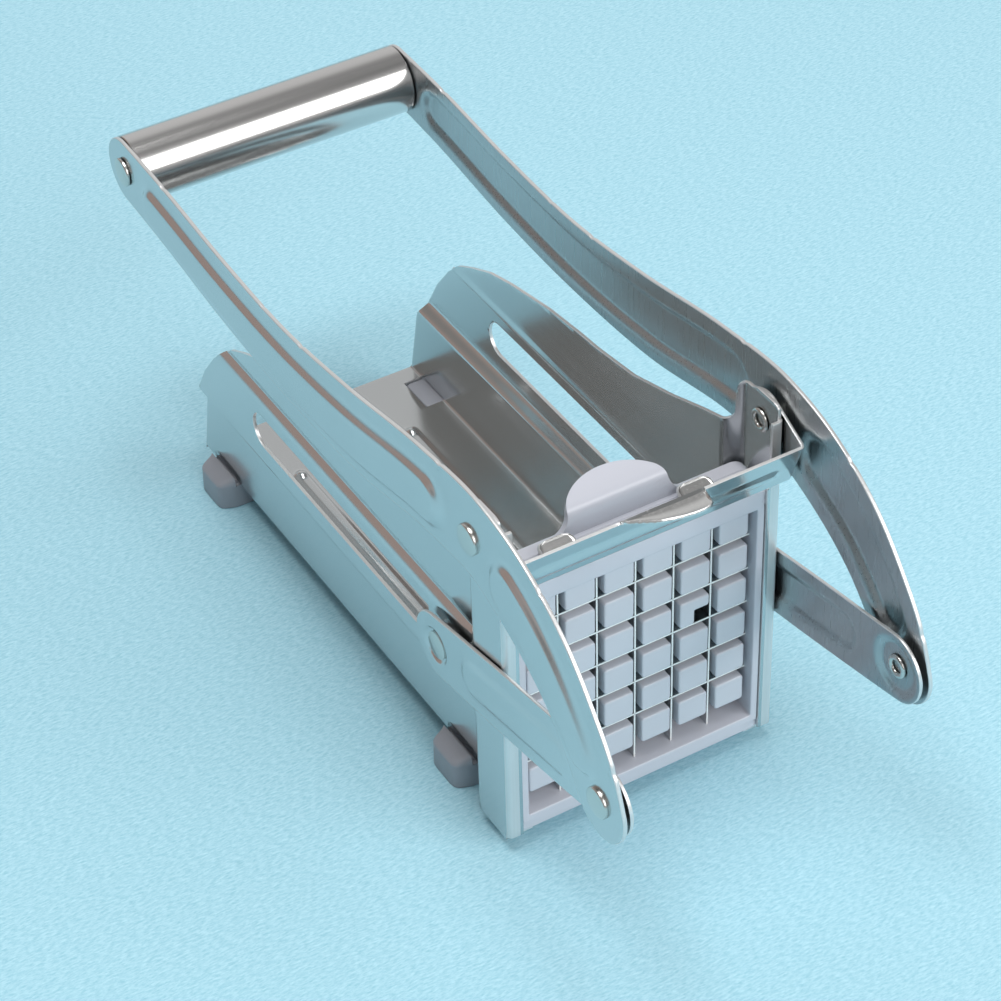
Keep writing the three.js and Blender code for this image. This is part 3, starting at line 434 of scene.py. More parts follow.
frame_plastic = moulded_plastic("frame_plastic", (0.525, 0.54, 0.6), 0.22)
finger_plastic = moulded_plastic("finger_plastic", (0.53, 0.55, 0.605), 0.22, roots=ROOTS)
foot_plastic = moulded_plastic("foot_plastic", (0.3, 0.31, 0.345), 0.4)
print("plastics:", [m.name for m in (frame_plastic, finger_plastic, foot_plastic)])

# %% [markdown]
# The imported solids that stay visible, such as the blades and screws, already have the
# right shape, so they only get a finish. Their slot names say what they are made of.

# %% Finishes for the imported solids
BY_SLOT = {
    "sheet_steel": sheet_y,
    "blade_steel": blade_steel,
    "rivet_steel": rivet_steel,
    "grip_steel": grip_steel,
    "frame_plastic": frame_plastic,
    "finger_plastic": finger_plastic,
    "foot_plastic": foot_plastic,
}
slots = {part["node"]: part["material_slot"] for part in frame["record"]["subparts"]}
for node, solid in frame["nodes"].items():
    solid.data.materials.clear()
    solid.data.materials.append(BY_SLOT[slots[node]])
print("finished solids:", len(slots))

# %% [markdown]
# Smooth outlines are drawn as a curve through a few measured points. Between two points
# the curve is a cubic whose slopes at the ends average the straight steps beside them.

# %% Curves
def curve_through(points, at):
    """Points of a smooth curve; at is the distance along the straight steps, in millimetres.

    A slope is the step's change over its length. At an inner point it's a mean of both steps'
    slopes in which the shorter step counts more. With u as the share of a step gone, a point is
    the start times 2u³ - 3u² + 1, plus the end times 3u² - 2u³, plus the step's length times
    the sum of the start's slope times u³ - 2u² + u and of the end's slope times u³ - u².
    """
    points = np.asarray(points, dtype=float)
    step = np.linalg.norm(np.diff(points[:, :2], axis=0), axis=1)
    knots = np.concatenate([[0.0], np.cumsum(step)])
    slope = np.diff(points, axis=0) / step[:, None]
    tangent = np.empty_like(points)
    weight = (step[1:] / (step[:-1] + step[1:]))[:, None]
    tangent[1:-1] = slope[:-1] * weight + slope[1:] * (1 - weight)
    tangent[0] = 1.5 * slope[0] - 0.5 * tangent[1]
    tangent[-1] = 1.5 * slope[-1] - 0.5 * tangent[-2]
    part = np.clip(np.searchsorted(knots, at, side="right") - 1, 0, len(step) - 1)
    size = step[part][:, None]
    u = (np.asarray(at) - knots[part])[:, None] / size
    start, end = points[part], points[part + 1]
    return (
        start * (2 * u**3 - 3 * u**2 + 1)
        + end * (3 * u**2 - 2 * u**3)
        + size * tangent[part] * (u**3 - 2 * u**2 + u)
        + size * tangent[part + 1] * (u**3 - u**2)
    )


def steps_length(points):
    """Sum of the straight steps between the points, seen from the side."""
    return float(np.linalg.norm(np.diff(np.asarray(points, float)[:, :2], axis=0), axis=1).sum())


def soft_step(value):
    """0 below 0, 1 above 1, and a smooth S between."""
    value = np.clip(value, 0.0, 1.0)
    return value * value * (3 - 2 * value)


def mirror_x(points, side):
    """The points as they are for side 1, and with X turned round for side -1."""
    return points * np.array([side, 1.0, 1.0])


test = curve_through([[0, 0], [1, 1], [2, 0]], np.array([0.7, 1.4]))
print("curve test:", test.round(3).tolist())

# %% [markdown]
# Lever arms and links are bands of sheet: a middle line with a width, round at both ends,
# and panels pressed outwards that make them stiff. One function lays a table of points
# over the band. Each row crosses it and runs once round the sheet, over the outer face,
# the rounded edge and the inner face.

# %% Band rows
ROW_STEP = 0.6
TANGENT_REACH = 0.05
EDGE_ROUND = 0.3
EDGE_TURNS = np.radians([30.0, 60.0, 90.0])
NICK_WIDTH = 0.9


def band_rows(line):
    """Row places along the line, their middles, tangents and half widths.

    Between the ends the half width is the curve's third number. Round a free end it is the
    root of the end's half width squared less the distance beyond the end squared.
    """
    length = steps_length(line)
    end_start, end_finish = line[0][2], line[-1][2]
    turn = np.radians(np.linspace(3.0, 87.0, 15))
    body = np.linspace(0.0, length, int(length / ROW_STEP))
    at = np.concatenate([-end_start * np.cos(turn), body, length + end_finish * np.cos(turn[::-1])])
    inside = np.clip(at, 0.0, length)
    centre = curve_through(line, inside)
    ahead_of = curve_through(line, np.clip(inside + TANGENT_REACH, 0, length))
    behind = curve_through(line, np.clip(inside - TANGENT_REACH, 0, length))
    tangent = (ahead_of - behind)[:, :2]
    tangent /= np.linalg.norm(tangent, axis=1)[:, None]
    half = centre[:, 2].copy()
    before, after = at < 0, at > length
    half[before] = np.sqrt(end_start**2 - at[before] ** 2)
    half[after] = np.sqrt(end_finish**2 - (at[after] - length) ** 2)
    middle = centre[:, :2] + tangent * (at - inside)[:, None]
    return at, middle, tangent, half


def band_section(half, thickness, columns):
    """Once round the sheet at each row: the place across it and the lift, rounded at both edges."""
    round_by = np.minimum(EDGE_ROUND, half * 0.4)
    share = np.linspace(-1.0, 1.0, columns)
    face = share[None, :] * (half - round_by)[:, None]
    rim = (half - round_by)[:, None] + round_by[:, None] * np.sin(EDGE_TURNS)
    low = round_by[:, None] * (1 - np.cos(EDGE_TURNS))
    high = thickness - low
    flat = np.zeros_like(face)
    across = np.concatenate([face, rim, rim[:, ::-1], face[:, ::-1], -rim, -rim[:, ::-1]], axis=1)
    lift = np.concatenate([flat + thickness, high, low[:, ::-1], flat, low, high[:, ::-1]], axis=1)
    return across, lift


def nicked(at, across, half, nicks):
    """Moves the upper edge inwards by a bell curve at each nick, (place, depth)."""
    for place, deep in nicks:
        dip = deep * np.exp(-(((at - place) / NICK_WIDTH) ** 2))
        upper = across < (2.0 - half)[:, None]
        across = np.where(upper, across + dip[:, None], across)
    return across


print("points once round a band:", band_section(np.array([12.0]), 1.3, 90)[0].shape[1])

# %% [markdown]
# The pressing is a height that depends only on how deep a point lies inside the panel's
# outline, so slopes and round ends come by themselves. A cut with Boolean tools would need
# every one of these slopes as a body of its own.

# %% Pressed bands
def band_piece(name, line, inner, thickness, height, side, columns=90, nicks=()):
    """A pressed band: height(at, across) in millimetres lifts both faces outwards.

    A point is the row's middle plus the normal times its place across, and its X is the inner
    face's place plus its lift in the section plus the height. The faces are marked 0 on the
    outer side, 1 on the cut edges and 2 on the inner side.
    """
    at, middle, tangent, half = band_rows(line)
    normal = np.stack([-tangent[:, 1], tangent[:, 0]], axis=1)
    across, lift = band_section(half, thickness, columns)
    across = nicked(at, across, half, nicks)
    lift = lift + inner + height(at[:, None], across)
    flat_points = middle[:, None, :] + normal[:, None, :] * across[:, :, None]
    points = np.concatenate([lift[:, :, None], flat_points], axis=2)
    piece = stack_piece(name, [mirror_x(points, side)])
    edge = 2 * len(EDGE_TURNS) + 1
    once_round = np.repeat([0, 1, 2, 1], [columns - 1, edge, columns - 1, edge])
    mark_faces(piece, np.append(np.tile(once_round, len(at) - 1), [1, 1]))
    return smooth(clean(piece), 50)


def panel_depth(at, across, start, finish, half, shift=0.0):
    """How far a point lies inside a leaf with round ends: its half width less the distance
    from its middle line."""
    beyond = np.maximum(np.maximum(start + half - at, at - (finish - half)), 0.0)
    return half - np.hypot(beyond, across - shift)


def pressed(depth, width, brow=0.25, foot=0.55):
    """0 outside a pressed shape and 1 on it: a straight slope with a tight brow and a softer foot.

    Both bends are hyperbolas: the mean of two straight lines and of the root of their
    difference squared plus the bend squared.
    """
    rise = depth / width
    capped = (rise + 1 - np.sqrt((rise - 1) ** 2 + brow**2)) / 2
    return (capped + np.sqrt(capped**2 + foot**2)) / (1 + math.sqrt(1 + foot**2))


def disc_depth(at, across, place, radius):
    """How far a point lies inside a disc: its radius less the distance from its middle."""
    return radius - np.hypot(at - place, across)


print("bands ready")

# %% [markdown]
# The lever's two arms run from the grip over the pivot and bend down to the toe, where the
# links hang. Each has two panels, one between the grip and the pivot and one down to the toe.
# Small nicks in the upper edge are where the blank was held in its strip. The cut edges get
# a matt steel and the inner faces a rougher one, whose darker colour is painted shade.

# %% Lever arms
GRIP = (214.9, 58.2)
TOE = (-59.2, 16.9)
PIVOT = (4.9, 60.8)
PIN = (31.8, -0.3)
ARM_LINE = [
    (*GRIP, 10.9), (189.9, 56.7, 11.4), (150.0, 52.6, 12.1), (109.9, 51.0, 12.6), (70.0, 53.9, 14.0),
    (28.0, 61.0, 14.0), (0.1, 62.2, 14.7), (-14.0, 58.5, 15.4), (-35.5, 47.0, 14.7),
    (-45.7, 37.6, 13.6), (-54.0, 27.3, 13.0), (*TOE, 11.97),
]
ARM_INNER, ARM_SHEET = 48.3, 1.3
ARM_LENGTH = steps_length(ARM_LINE)
LONG_LEAF, SHORT_LEAF = (14.0, 198.0), (223.5, 286.0)
LONG_HALF, LONG_GROWTH = 6.9, 0.012
SHORT_HALF, SHORT_FROM, SHORT_LOSS = 8.9, 240.0, 0.05
LEAF_SHIFT, LEAF_RISE, LEAF_SLOPE = 1.0, 2.38, 2.3


def arm_height(at, across):
    """Two leaves pressed outwards; one grows a little wider along the arm, the other narrower."""
    long_half = LONG_HALF + LONG_GROWTH * np.clip(at, 0, 150)
    short_half = SHORT_HALF - SHORT_LOSS * np.clip(at - SHORT_FROM, 0, 60)
    long_leaf = panel_depth(at, across, *LONG_LEAF, long_half, LEAF_SHIFT)
    short_leaf = panel_depth(at, across, *SHORT_LEAF, short_half, LEAF_SHIFT)
    return LEAF_RISE * (pressed(long_leaf, LEAF_SLOPE) + pressed(short_leaf, LEAF_SLOPE))


NICKS = [(26.8, 0.45), (92.0, 0.25), (116.5, 0.45), (197.0, 0.45), (241.0, 0.45), (283.5, 0.45)]
# Matt steel for the cut edges; rougher steel with painted shade for the inner faces.
EDGE_AND_INNER = [cut_steel, sheet_inner_shaded]
for side, name in ((1, "right"), (-1, "left")):
    arm = band_piece(f"arm_{name}", ARM_LINE, ARM_INNER, ARM_SHEET, arm_height, side, nicks=NICKS)
    finish_piece(arm, sheet_z, "lever", "sheet_steel", f"lever_arm_{name}", others=EDGE_AND_INNER)
print("arm:", len(arm.data.polygons), "faces, line", round(ARM_LENGTH, 1), "mm")

# %% [markdown]
# The links are straight bands. Each has one leaf pressed outwards, a round boss at the toe
# that carries the rivet, and a dimple at the slot pin that sinks the pin's flat head.

# %% Links
LINK_LINE = [(*TOE, 11.0), (-13.7, 8.3, 11.6), (*PIN, 10.8)]
LINK_INNER, LINK_SHEET = 45.7, 1.1
LINK_LENGTH = steps_length(LINK_LINE)
LINK_LEAF, LINK_LEAF_HALF, LINK_RISE = (18.5, 77.0), 6.6, 1.2
LINK_LEAF_SLOPE, BOSS_SLOPE, DIMPLE_SLOPE, DIMPLE_BEND = 2.0, 1.8, 1.1, 0.15
BOSS_RADIUS, DIMPLE_RADIUS = 9.2, 6.1


def link_height(at, across):
    """One leaf and the toe's boss outwards, the pin's dimple inwards."""
    leaf = panel_depth(at, across, *LINK_LEAF, LINK_LEAF_HALF)
    boss = disc_depth(at, across, 0.0, BOSS_RADIUS)
    dimple = disc_depth(at, across, LINK_LENGTH, DIMPLE_RADIUS)
    raised = pressed(leaf, LINK_LEAF_SLOPE) + pressed(boss, BOSS_SLOPE)
    return LINK_RISE * (raised - pressed(dimple, DIMPLE_SLOPE, DIMPLE_BEND, DIMPLE_BEND))


for side, name in ((1, "right"), (-1, "left")):
    link = band_piece(f"bar_{name}", LINK_LINE, LINK_INNER, LINK_SHEET, link_height, side)
    finish_piece(link, sheet_z, f"link_{name}", "sheet_steel", f"link_{name}", others=EDGE_AND_INNER)
print("link:", len(link.data.polygons), "faces")

# %% [markdown]
# Round pieces are turned: a profile of places along the axis and radii goes once round.
# Rivets, pin heads, the grip and its rod all lie across the cutter, so one function makes
# them. Blender could also spin a profile, but a table of points needs no tidying afterwards.

# %% Turning
def turned_piece(name, profile, centre, side=1, facets=64, smooth_angle=40, marked=0):
    """A profile of (x, radius) swept round an axis along X through centre (y, z).

    Each point is x, the centre's y plus the radius times the cosine of the turn, and its z plus
    the radius times the sine. The faces of the first marked steps take the second finish.
    """
    profile = np.asarray(profile, dtype=float)
    turn = np.linspace(0, 2 * np.pi, facets, endpoint=False)
    y = centre[0] + profile[:, 1:] * np.cos(turn)
    z = centre[1] + profile[:, 1:] * np.sin(turn)
    points = mirror_x(surface(profile[:, :1], y, z), side)
    piece = mesh_piece(name, placed(points), grid_faces(len(profile), facets, wrap=True))
    mark_faces(piece, np.repeat(np.arange(len(profile) - 1) < marked, facets))
    return smooth(clean(piece), smooth_angle)


def domed_head(seat, radius, rise, start=0.0):
    """Profile of a low rivet head: a short round side, then a dome that is flat in the middle.

    On the dome the height grows as the sine of the turn and the radius falls as the root of
    its cosine.
    """
    turn = np.radians(np.linspace(0, 90, 12))
    straight = rise * 0.55
    ease = 0.1
    rim = [(seat, start), (seat, radius - ease), (seat + ease, radius)]
    rim.append((seat + straight - 0.15, radius))
    dome_x = seat + straight + (rise - straight) * np.sin(turn[:-1])
    dome_radius = (radius - ease) * np.sqrt(np.cos(turn[:-1]))
    return rim + list(zip(dome_x, dome_radius)) + [(seat + rise, 0.0)]


def eyelet(face, radius, bore, depth, shank):
    """Profile of a rolled hollow rivet end that faces inwards, from its floor to its shank.

    The roll is half an ellipse between the bore and the rim, three quarters as high as wide.
    """
    turn = np.radians(np.linspace(0, 180, 9))
    lip = (radius - bore) / 2
    roll = zip(face - 0.15 - lip * 0.75 * np.sin(turn), bore + lip - lip * np.cos(turn))
    hole = [(face + depth, 0.0), (face + depth, bore * 0.92), (face, bore)]
    return hole + list(roll) + [(face, radius), (face, shank)]


print("a test head:", np.round(domed_head(0.0, 4.7, 1.45)[-3:], 2).tolist())

# %% [markdown]
# Pivot and toe rivets are hollow at their inner end, where the tool that set them rolled the
# rim over. Their bore gets a near-black steel of its own, painted shade for the dark inside the
# hole, so its faces are marked. The slot pin ends in a plain disc that sits in the link's dimple.

# %% Rivets
SHANK, HEAD_SEAT, HEAD_RADIUS, HEAD_RISE = 2.4, 49.62, 4.7, 1.45
ROLL_RADIUS, BORE_RADIUS, BORE_STEPS = 3.7, 1.9, 2
PIVOT_FACE, PIVOT_DEPTH = 44.0, 4.4
TOE_FACE, TOE_DEPTH = 46.6, 2.9
head = [(49.5, SHANK)] + domed_head(HEAD_SEAT, HEAD_RADIUS, HEAD_RISE, SHANK)
pivot_profile = eyelet(PIVOT_FACE, ROLL_RADIUS, BORE_RADIUS, PIVOT_DEPTH, SHANK) + head
toe_profile = eyelet(TOE_FACE, ROLL_RADIUS, BORE_RADIUS, TOE_DEPTH, SHANK) + head
pin_profile = [
    (44.4, 0), (44.4, 2.5), (45.75, 2.5), (45.75, 4.3), (46.2, 4.45), (46.55, 4.4), (46.7, 4.15),
    (46.72, 0),
]
others = [bore_shade_steel]
for side, name in ((1, "right"), (-1, "left")):
    rivet = turned_piece(f"pivot_{name}", pivot_profile, PIVOT, side, marked=BORE_STEPS)
    finish_piece(rivet, rivet_steel, "body", "rivet_steel", f"pivot_rivet_{name}", others=others)
    rivet = turned_piece(f"toe_{name}", toe_profile, TOE, side, marked=BORE_STEPS)
    finish_piece(rivet, rivet_steel, "lever", "rivet_steel", f"toe_rivet_{name}", others=others)
    disc = turned_piece(f"pin_disc_{name}", pin_profile, PIN, side)
    finish_piece(disc, rivet_steel, f"link_{name}", "rivet_steel", f"slot_pin_head_{name}")
print("rivets:", len(rivet.data.polygons), "faces each")

# %% [markdown]
# The grip is a plain tube between the arms, with a rod through it whose heads hold the arms.
# Only half a profile is written down; the other half is its mirror image.

# %% Grip
TUBE_END, TUBE_RADIUS, TUBE_WALL, TUBE_EASE = 48.0, 11.0, 1.2, 0.25
tube_bore = TUBE_RADIUS - TUBE_WALL
tube_half = [
    (TUBE_END - TUBE_EASE, TUBE_RADIUS), (TUBE_END, TUBE_RADIUS - TUBE_EASE), (TUBE_END, tube_bore)
]
tube_profile = [(-x, r) for x, r in reversed(tube_half)] + tube_half + [(-TUBE_END, tube_bore)]
tube = turned_piece("grip_cover", tube_profile, GRIP, facets=160)
finish_piece(tube, grip_steel, "lever", "grip_steel", "grip_tube")

rod_head = domed_head(seat=49.9, radius=4.6, rise=1.25, start=3.0)
rod_profile = [(-x, r) for x, r in reversed(rod_head)] + rod_head
rod = turned_piece("grip_axle", rod_profile, GRIP)
finish_piece(rod, rivet_steel, "lever", "rivet_steel", "grip_rod")
print("grip:", 2 * TUBE_END, "mm long")

# %% [markdown]
# The trough is one bent sheet. Its side walls step outwards into a groove for the pusher's
# runners, then in again over a rounded ridge, and swing out at the front into a pocket for
# the blade cartridge. Seen from the side, the top edge rises from the rear tip to the ear
# that holds the pivot. The whole wall is one formula: the distance from the middle as a
# function of the place along the cutter and of the height.

# %% Trough shape
FLOOR, BEND, TROUGH_SHEET = -43.9, 0.8, 1.1
POCKET, POCKET_FLOOR = 44.3, -48.3
FRONT_EDGE, FLOOR_START, REAR_TIP = -2.9, 12.0, 198.0
LOW_WALL, GROOVE, HIGH_WALL = 38.3, 42.0, 40.2
GROOVE_FROM, RIDGE_FROM, STEP_HEIGHT = -17.3, 9.2, 4.6
RIDGE_LIP, RIDGE_LIP_AT, RIDGE_LIP_WIDTH = 0.5, 13.4, 1.5
JOG_FROM, JOG_LENGTH = 11.6, 7.2
WALL_TOP = [
    (-4.5, 66.7), (-4.1, 68.0), (-3.2, 69.2), (-2.0, 70.0), (-0.6, 70.3), (7.4, 70.25), (8.6, 69.6),
    (9.8, 69.1), (11.8, 69.0), (13.0, 68.7), (13.9, 67.9), (14.5, 66.8), (14.7, 65.0), (14.75, 58.4),
    (15.1, 56.6), (15.9, 55.2), (17.2, 54.3), (19.5, 53.6), (28.0, 50.9), (44.4, 45.0), (64.0, 39.2),
    (83.7, 36.4), (93.4, 35.7), (111.3, 33.7), (133.7, 29.2), (146.3, 25.8), (158.0, 20.6),
    (166.3, 16.3), (167.2, 15.6), (176.0, 7.6), (184.0, -2.4), (189.3, -11.6), (190.4, -14.6),
    (192.2, -18.2), (194.7, -30.0), (198.0, -45.0),
]


def wall_inside(y, z):
    """Distance of the wall's inner face from the middle.

    It is the low wall's distance, plus an S-shaped step out into the groove, less a second
    step in over the ridge and less the bell-shaped lip on the ridge. In front of the jog a step
    along Y takes its place and leads to the pocket.
    """
    step_out = soft_step((z - GROOVE_FROM) / STEP_HEIGHT)
    ridge = soft_step((z - RIDGE_FROM) / STEP_HEIGHT)
    lip = RIDGE_LIP * np.exp(-(((z - RIDGE_LIP_AT) / RIDGE_LIP_WIDTH) ** 2))
    behind = LOW_WALL + (GROOVE - LOW_WALL) * step_out - (GROOVE - HIGH_WALL) * ridge - lip
    jog = soft_step((y - JOG_FROM) / JOG_LENGTH)
    return POCKET + (behind - POCKET) * jog


print("wall at the slot:", round(float(wall_inside(80.0, 0.0)), 2), "mm from the middle")

# %% [markdown]
# A table of points needs its rows where the shape needs them: close together at bends and
# cuts, wide apart on the flat. Rows above the top edge or inside the slot are pulled onto its
# outline, so the cuts come out smooth. The slot's ends are half circles.

# %% Trough rows
SLOT_MIDDLE, SLOT_HALF = -0.4, 6.3
SLOT_FRONT, SLOT_REAR = 22.0, 150.7
OPENINGS = ((25.6, 40.6), (176.1, 191.1))


def spaced(*marks):
    """Places between marks, each with its step: (from, to, step), ..."""
    parts = [np.linspace(a, b, max(2, int(round((b - a) / step)) + 1)) for a, b, step in marks]
    return np.unique(np.concatenate(parts).round(5))


ROW_MARKS = [
    (FRONT_EDGE, -0.6, 0.5), (-0.6, 7.4, 1.6), (7.4, 19.6, 0.25), (19.6, 24.4, 1.0),
    (24.4, 41.8, 1.6), (41.8, 160.0, 2.0), (160.0, 166.3, 1.0), (166.3, REAR_TIP, 0.8),
]
round_in = SLOT_HALF * (1 - np.cos(np.linspace(0, np.pi / 2, 9)))
cuts = [FLOOR_START, *OPENINGS[0], *OPENINGS[1]]
row_y = np.concatenate([spaced(*ROW_MARKS), SLOT_FRONT + round_in, SLOT_REAR - round_in, cuts])
row_y = np.unique(row_y.round(4))
low_rows = spaced((FLOOR + BEND, -18.0, 4.0), (-18.0, -12.0, 0.4), (-12.0, SLOT_MIDDLE, 1.0))
high_rows = spaced((SLOT_MIDDLE, 8.4, 1.0), (8.4, 16.0, 0.35), (16.0, 72.0, 1.6))
pocket_rows = spaced((POCKET_FLOOR, FLOOR + BEND, 2.4))

wall_top = np.interp(row_y, *np.array(WALL_TOP).T)[:, None]
inside_slot = (row_y > SLOT_FRONT) & (row_y < SLOT_REAR)
near_end = np.minimum(row_y - SLOT_FRONT, SLOT_REAR - row_y).clip(0, SLOT_HALF)
slot_open = np.where(inside_slot, np.sqrt(SLOT_HALF**2 - (SLOT_HALF - near_end) ** 2), 0.0)[:, None]
wall_low = np.minimum(np.minimum(low_rows, SLOT_MIDDLE - slot_open), wall_top)
wall_high = np.minimum(np.maximum(high_rows, SLOT_MIDDLE + slot_open), wall_top)
print("wall table:", len(row_y), "by", len(low_rows) + len(high_rows))

# %% [markdown]
# A tight bend leads from each wall to the floor. In front the pocket has no floor, only a
# narrow lip below and a flange that turns inwards, so the cartridge drops in and stands
# against the flange. Each of them is a small table of its own that meets its neighbours.

# %% Trough edges
FLANGE_BEND, FLANGE_EDGE, FLANGE_EDGE_HIGH = 0.5, 40.6, 41.7
FLANGE_TOP, CARTRIDGE_TOP = 66.0, 44.0
TAB_EDGE = 36.6


def corner_points(y):
    """Quarter bend from the floor up to the wall.

    X is the bend's foot plus its radius times the sine of the turn, and the height is the
    floor's plus the radius times one less the cosine.
    """
    turn = np.linspace(0, np.pi / 2, 6)
    foot = wall_inside(y, FLOOR + BEND) - BEND
    return surface(foot + BEND * np.sin(turn), y, FLOOR + BEND - BEND * np.cos(turn))


def flange_points(z):
    """The front flange: a quarter bend inwards, then flat to its edge, which lies farther out
    above the cartridge.

    On the bend X falls by the radius times one less the cosine of the turn, and Y by the
    radius times its sine.
    """
    turn = np.linspace(0, np.pi / 2, 6)[:, None]
    share = np.linspace(0.0, 1.0, 4)[1:, None]
    edge = np.where(z > CARTRIDGE_TOP, FLANGE_EDGE_HIGH, FLANGE_EDGE)
    bend_end = POCKET - FLANGE_BEND
    bend_x = bend_end + FLANGE_BEND * np.cos(turn) + 0 * z
    x = np.concatenate([bend_x, bend_end - (bend_end - edge) * share])
    y = FRONT_EDGE - FLANGE_BEND * np.concatenate([np.sin(turn), np.ones_like(share)])
    return surface(x, y, z)


def tab_points(y):
    """The pocket's bottom lip, which carries the cartridge: flat, from the wall inwards."""
    return surface(np.linspace(POCKET, TAB_EDGE, 5), y, POCKET_FLOOR)


front_y = row_y[row_y <= FLOOR_START][:, None]
rear_y = row_y[row_y >= FLOOR_START][:, None]
corner = corner_points(rear_y)
flange_marks = [CARTRIDGE_TOP - 0.2, CARTRIDGE_TOP + 0.2, FLANGE_TOP]
flange_z = [pocket_rows, low_rows, high_rows[high_rows < FLANGE_TOP - 0.5], flange_marks]
flange = flange_points(np.unique(np.concatenate(flange_z).round(5)))
print("corner:", corner.shape, "flange:", flange.shape)

# %% [markdown]
# The floor carries two long beads, pressed up from below, and four openings for the feet.
# Squares of the table that lie in an opening are simply left out.

# %% Trough floor
BEAD_X, BEAD_FROM, BEAD_TO = 20.5, 24.0, 167.3
BEAD_RISE, BEAD_HALF, BEAD_SLOPE = 1.2, 2.8, 2.0
PIP_Y, PIP_RISE, PIP_RADIUS, PIP_SLOPE = 166.2, 0.9, 2.2, 1.6
OPENING_INNER, FLOOR_EDGE = 31.5, 36.7


def floor_lift(x, y):
    """Beads: an S-shaped rise by the distance from the bead's middle line; a pip ends each."""
    beyond = np.maximum(np.maximum(BEAD_FROM - y, y - BEAD_TO), 0.0)
    away = np.hypot(np.abs(x) - BEAD_X, beyond)
    from_pip = np.hypot(np.abs(x) - BEAD_X, y - PIP_Y)
    bead = BEAD_RISE * soft_step((BEAD_HALF - away) / BEAD_SLOPE)
    return bead + PIP_RISE * soft_step((PIP_RADIUS - from_pip) / PIP_SLOPE)


def opening_mask(points):
    """True for the squares outside the foot openings."""
    centre = (points[:-1, :-1] + points[1:, 1:]) / 2
    x, y = np.abs(centre[..., 0]), centre[..., 1]
    hit = np.zeros(x.shape, dtype=bool)
    for low, high in OPENINGS:
        hit |= (x > OPENING_INNER) & (y > low) & (y < high)
    return ~hit


half_floor = spaced(
    (0, 16.4, 4.1), (16.4, 24.6, 0.45), (24.6, OPENING_INNER, 2.0), (OPENING_INNER, FLOOR_EDGE, 2.6)
)
bend_foot = wall_inside(rear_y, FLOOR + BEND) - BEND
stretch = (bend_foot - OPENING_INNER) / (FLOOR_EDGE - OPENING_INNER)
outer_part = OPENING_INNER + (half_floor - OPENING_INNER) * stretch
floor_x = np.where(half_floor > OPENING_INNER, outer_part, half_floor)
trough_floor = surface(floor_x, rear_y, FLOOR + floor_lift(floor_x, rear_y))
print("floor table:", trough_floor.shape)

# %% [markdown]
# All tables of the right half and their mirror images become one mesh. Points that lie on
# each other are merged, so the sheet is whole before it gets its thickness. The bend of the
# front flange is marked for the cut steel: bright and matt, partly for its rubbed seam and
# partly as a painted highlight on the bend.

# %% Trough sheet
# Faces of the flange's bend get the bright cut steel: partly a rubbed seam, partly a painted highlight.
WORN_SEAM_AND_SHEEN_FROM = 41.8
tables = [
    (surface(wall_inside(row_y[:, None], wall_low), row_y[:, None], wall_low), None),
    (surface(wall_inside(row_y[:, None], wall_high), row_y[:, None], wall_high), None),
    (surface(wall_inside(front_y, pocket_rows), front_y, pocket_rows), None),
    (flange, None),
    (tab_points(front_y), None),
    (corner, opening_mask(corner)),
    (trough_floor, opening_mask(trough_floor)),
]
points, faces, count = [], [], 0
for side in (1, -1):
    for table, keep in tables:
        rows, columns = table.shape[:2]
        quads = grid_faces(rows, columns, keep=keep) + count
        faces.append(quads[:, ::-1] if side < 0 else quads)
        points.append(mirror_x(table, side).reshape(-1, 3))
        count += rows * columns
trough = mesh_piece("trough_sheet", placed(np.concatenate(points)), np.concatenate(faces))
smooth(clean(trough, 2e-6), 35)
sheet_wall(trough, TROUGH_SHEET * MM, 1.0)
eased(trough, 0.15 * MM, 2, 60)
centres = face_centres(trough)
mark_faces(trough, (centres[:, 1] < FRONT_EDGE - 0.05) & (np.abs(centres[:, 0]) > WORN_SEAM_AND_SHEEN_FROM))
finish_piece(trough, sheet_y, "body", "sheet_steel", "trough", others=[cut_steel])
print("trough:", len(trough.data.polygons), "faces before thickness")

# %% [markdown]
# The cartridge frame is a window: an outer outline with two large round corners at the top,
# and the opening for the grid. Both outlines are drawn with the same number of points, one
# for each direction round the middle, so a section can be swept between them. The section
# starts at the opening, goes over the rounded front edge, the front face and the outside,
# and returns along the back.

# %% Frame outlines
TOP_FACE = 43.6
FRAME_LOW, FRAME_HIGH = np.array([-44.0, -48.0]), np.array([44.0, TOP_FACE])
WINDOW_LOW, WINDOW_HIGH = np.array([-38.1, -42.6]), np.array([38.1, 36.9])
CORNER_STEPS, SIDE_STEPS = 12, 14
EASE = 0.45


def lerp(a, b, share):
    """The mix of two values: a at share 0 and b at share 1."""
    return a * (1 - share) + b * share


def rounded_loop(low, high, radii):
    """Outline of a box with a radius per corner, as (x, z): low right, up and round anticlockwise.

    A corner is its circle's middle plus the radius times the cosine and the sine of the turn,
    and the sides between the arcs are cut into equal steps.
    """
    centres = [(high[0], low[1]), (high[0], high[1]), (low[0], high[1]), (low[0], low[1])]
    signs = [(-1, 1), (-1, -1), (1, -1), (1, 1)]
    arcs = []
    for k, (centre, sign, radius) in enumerate(zip(centres, signs, radii)):
        turn = np.linspace(-np.pi / 2, 0, CORNER_STEPS) + k * np.pi / 2
        middle = np.array(centre) + radius * np.array(sign)
        arcs.append(middle + radius * np.stack([np.cos(turn), np.sin(turn)], axis=1))
    outline = []
    for arc, following in zip(arcs, arcs[1:] + arcs[:1]):
        share = np.linspace(0, 1, SIDE_STEPS + 1)[1:-1, None]
        outline += [arc, lerp(arc[-1], following[0], share)]
    return np.concatenate(outline)


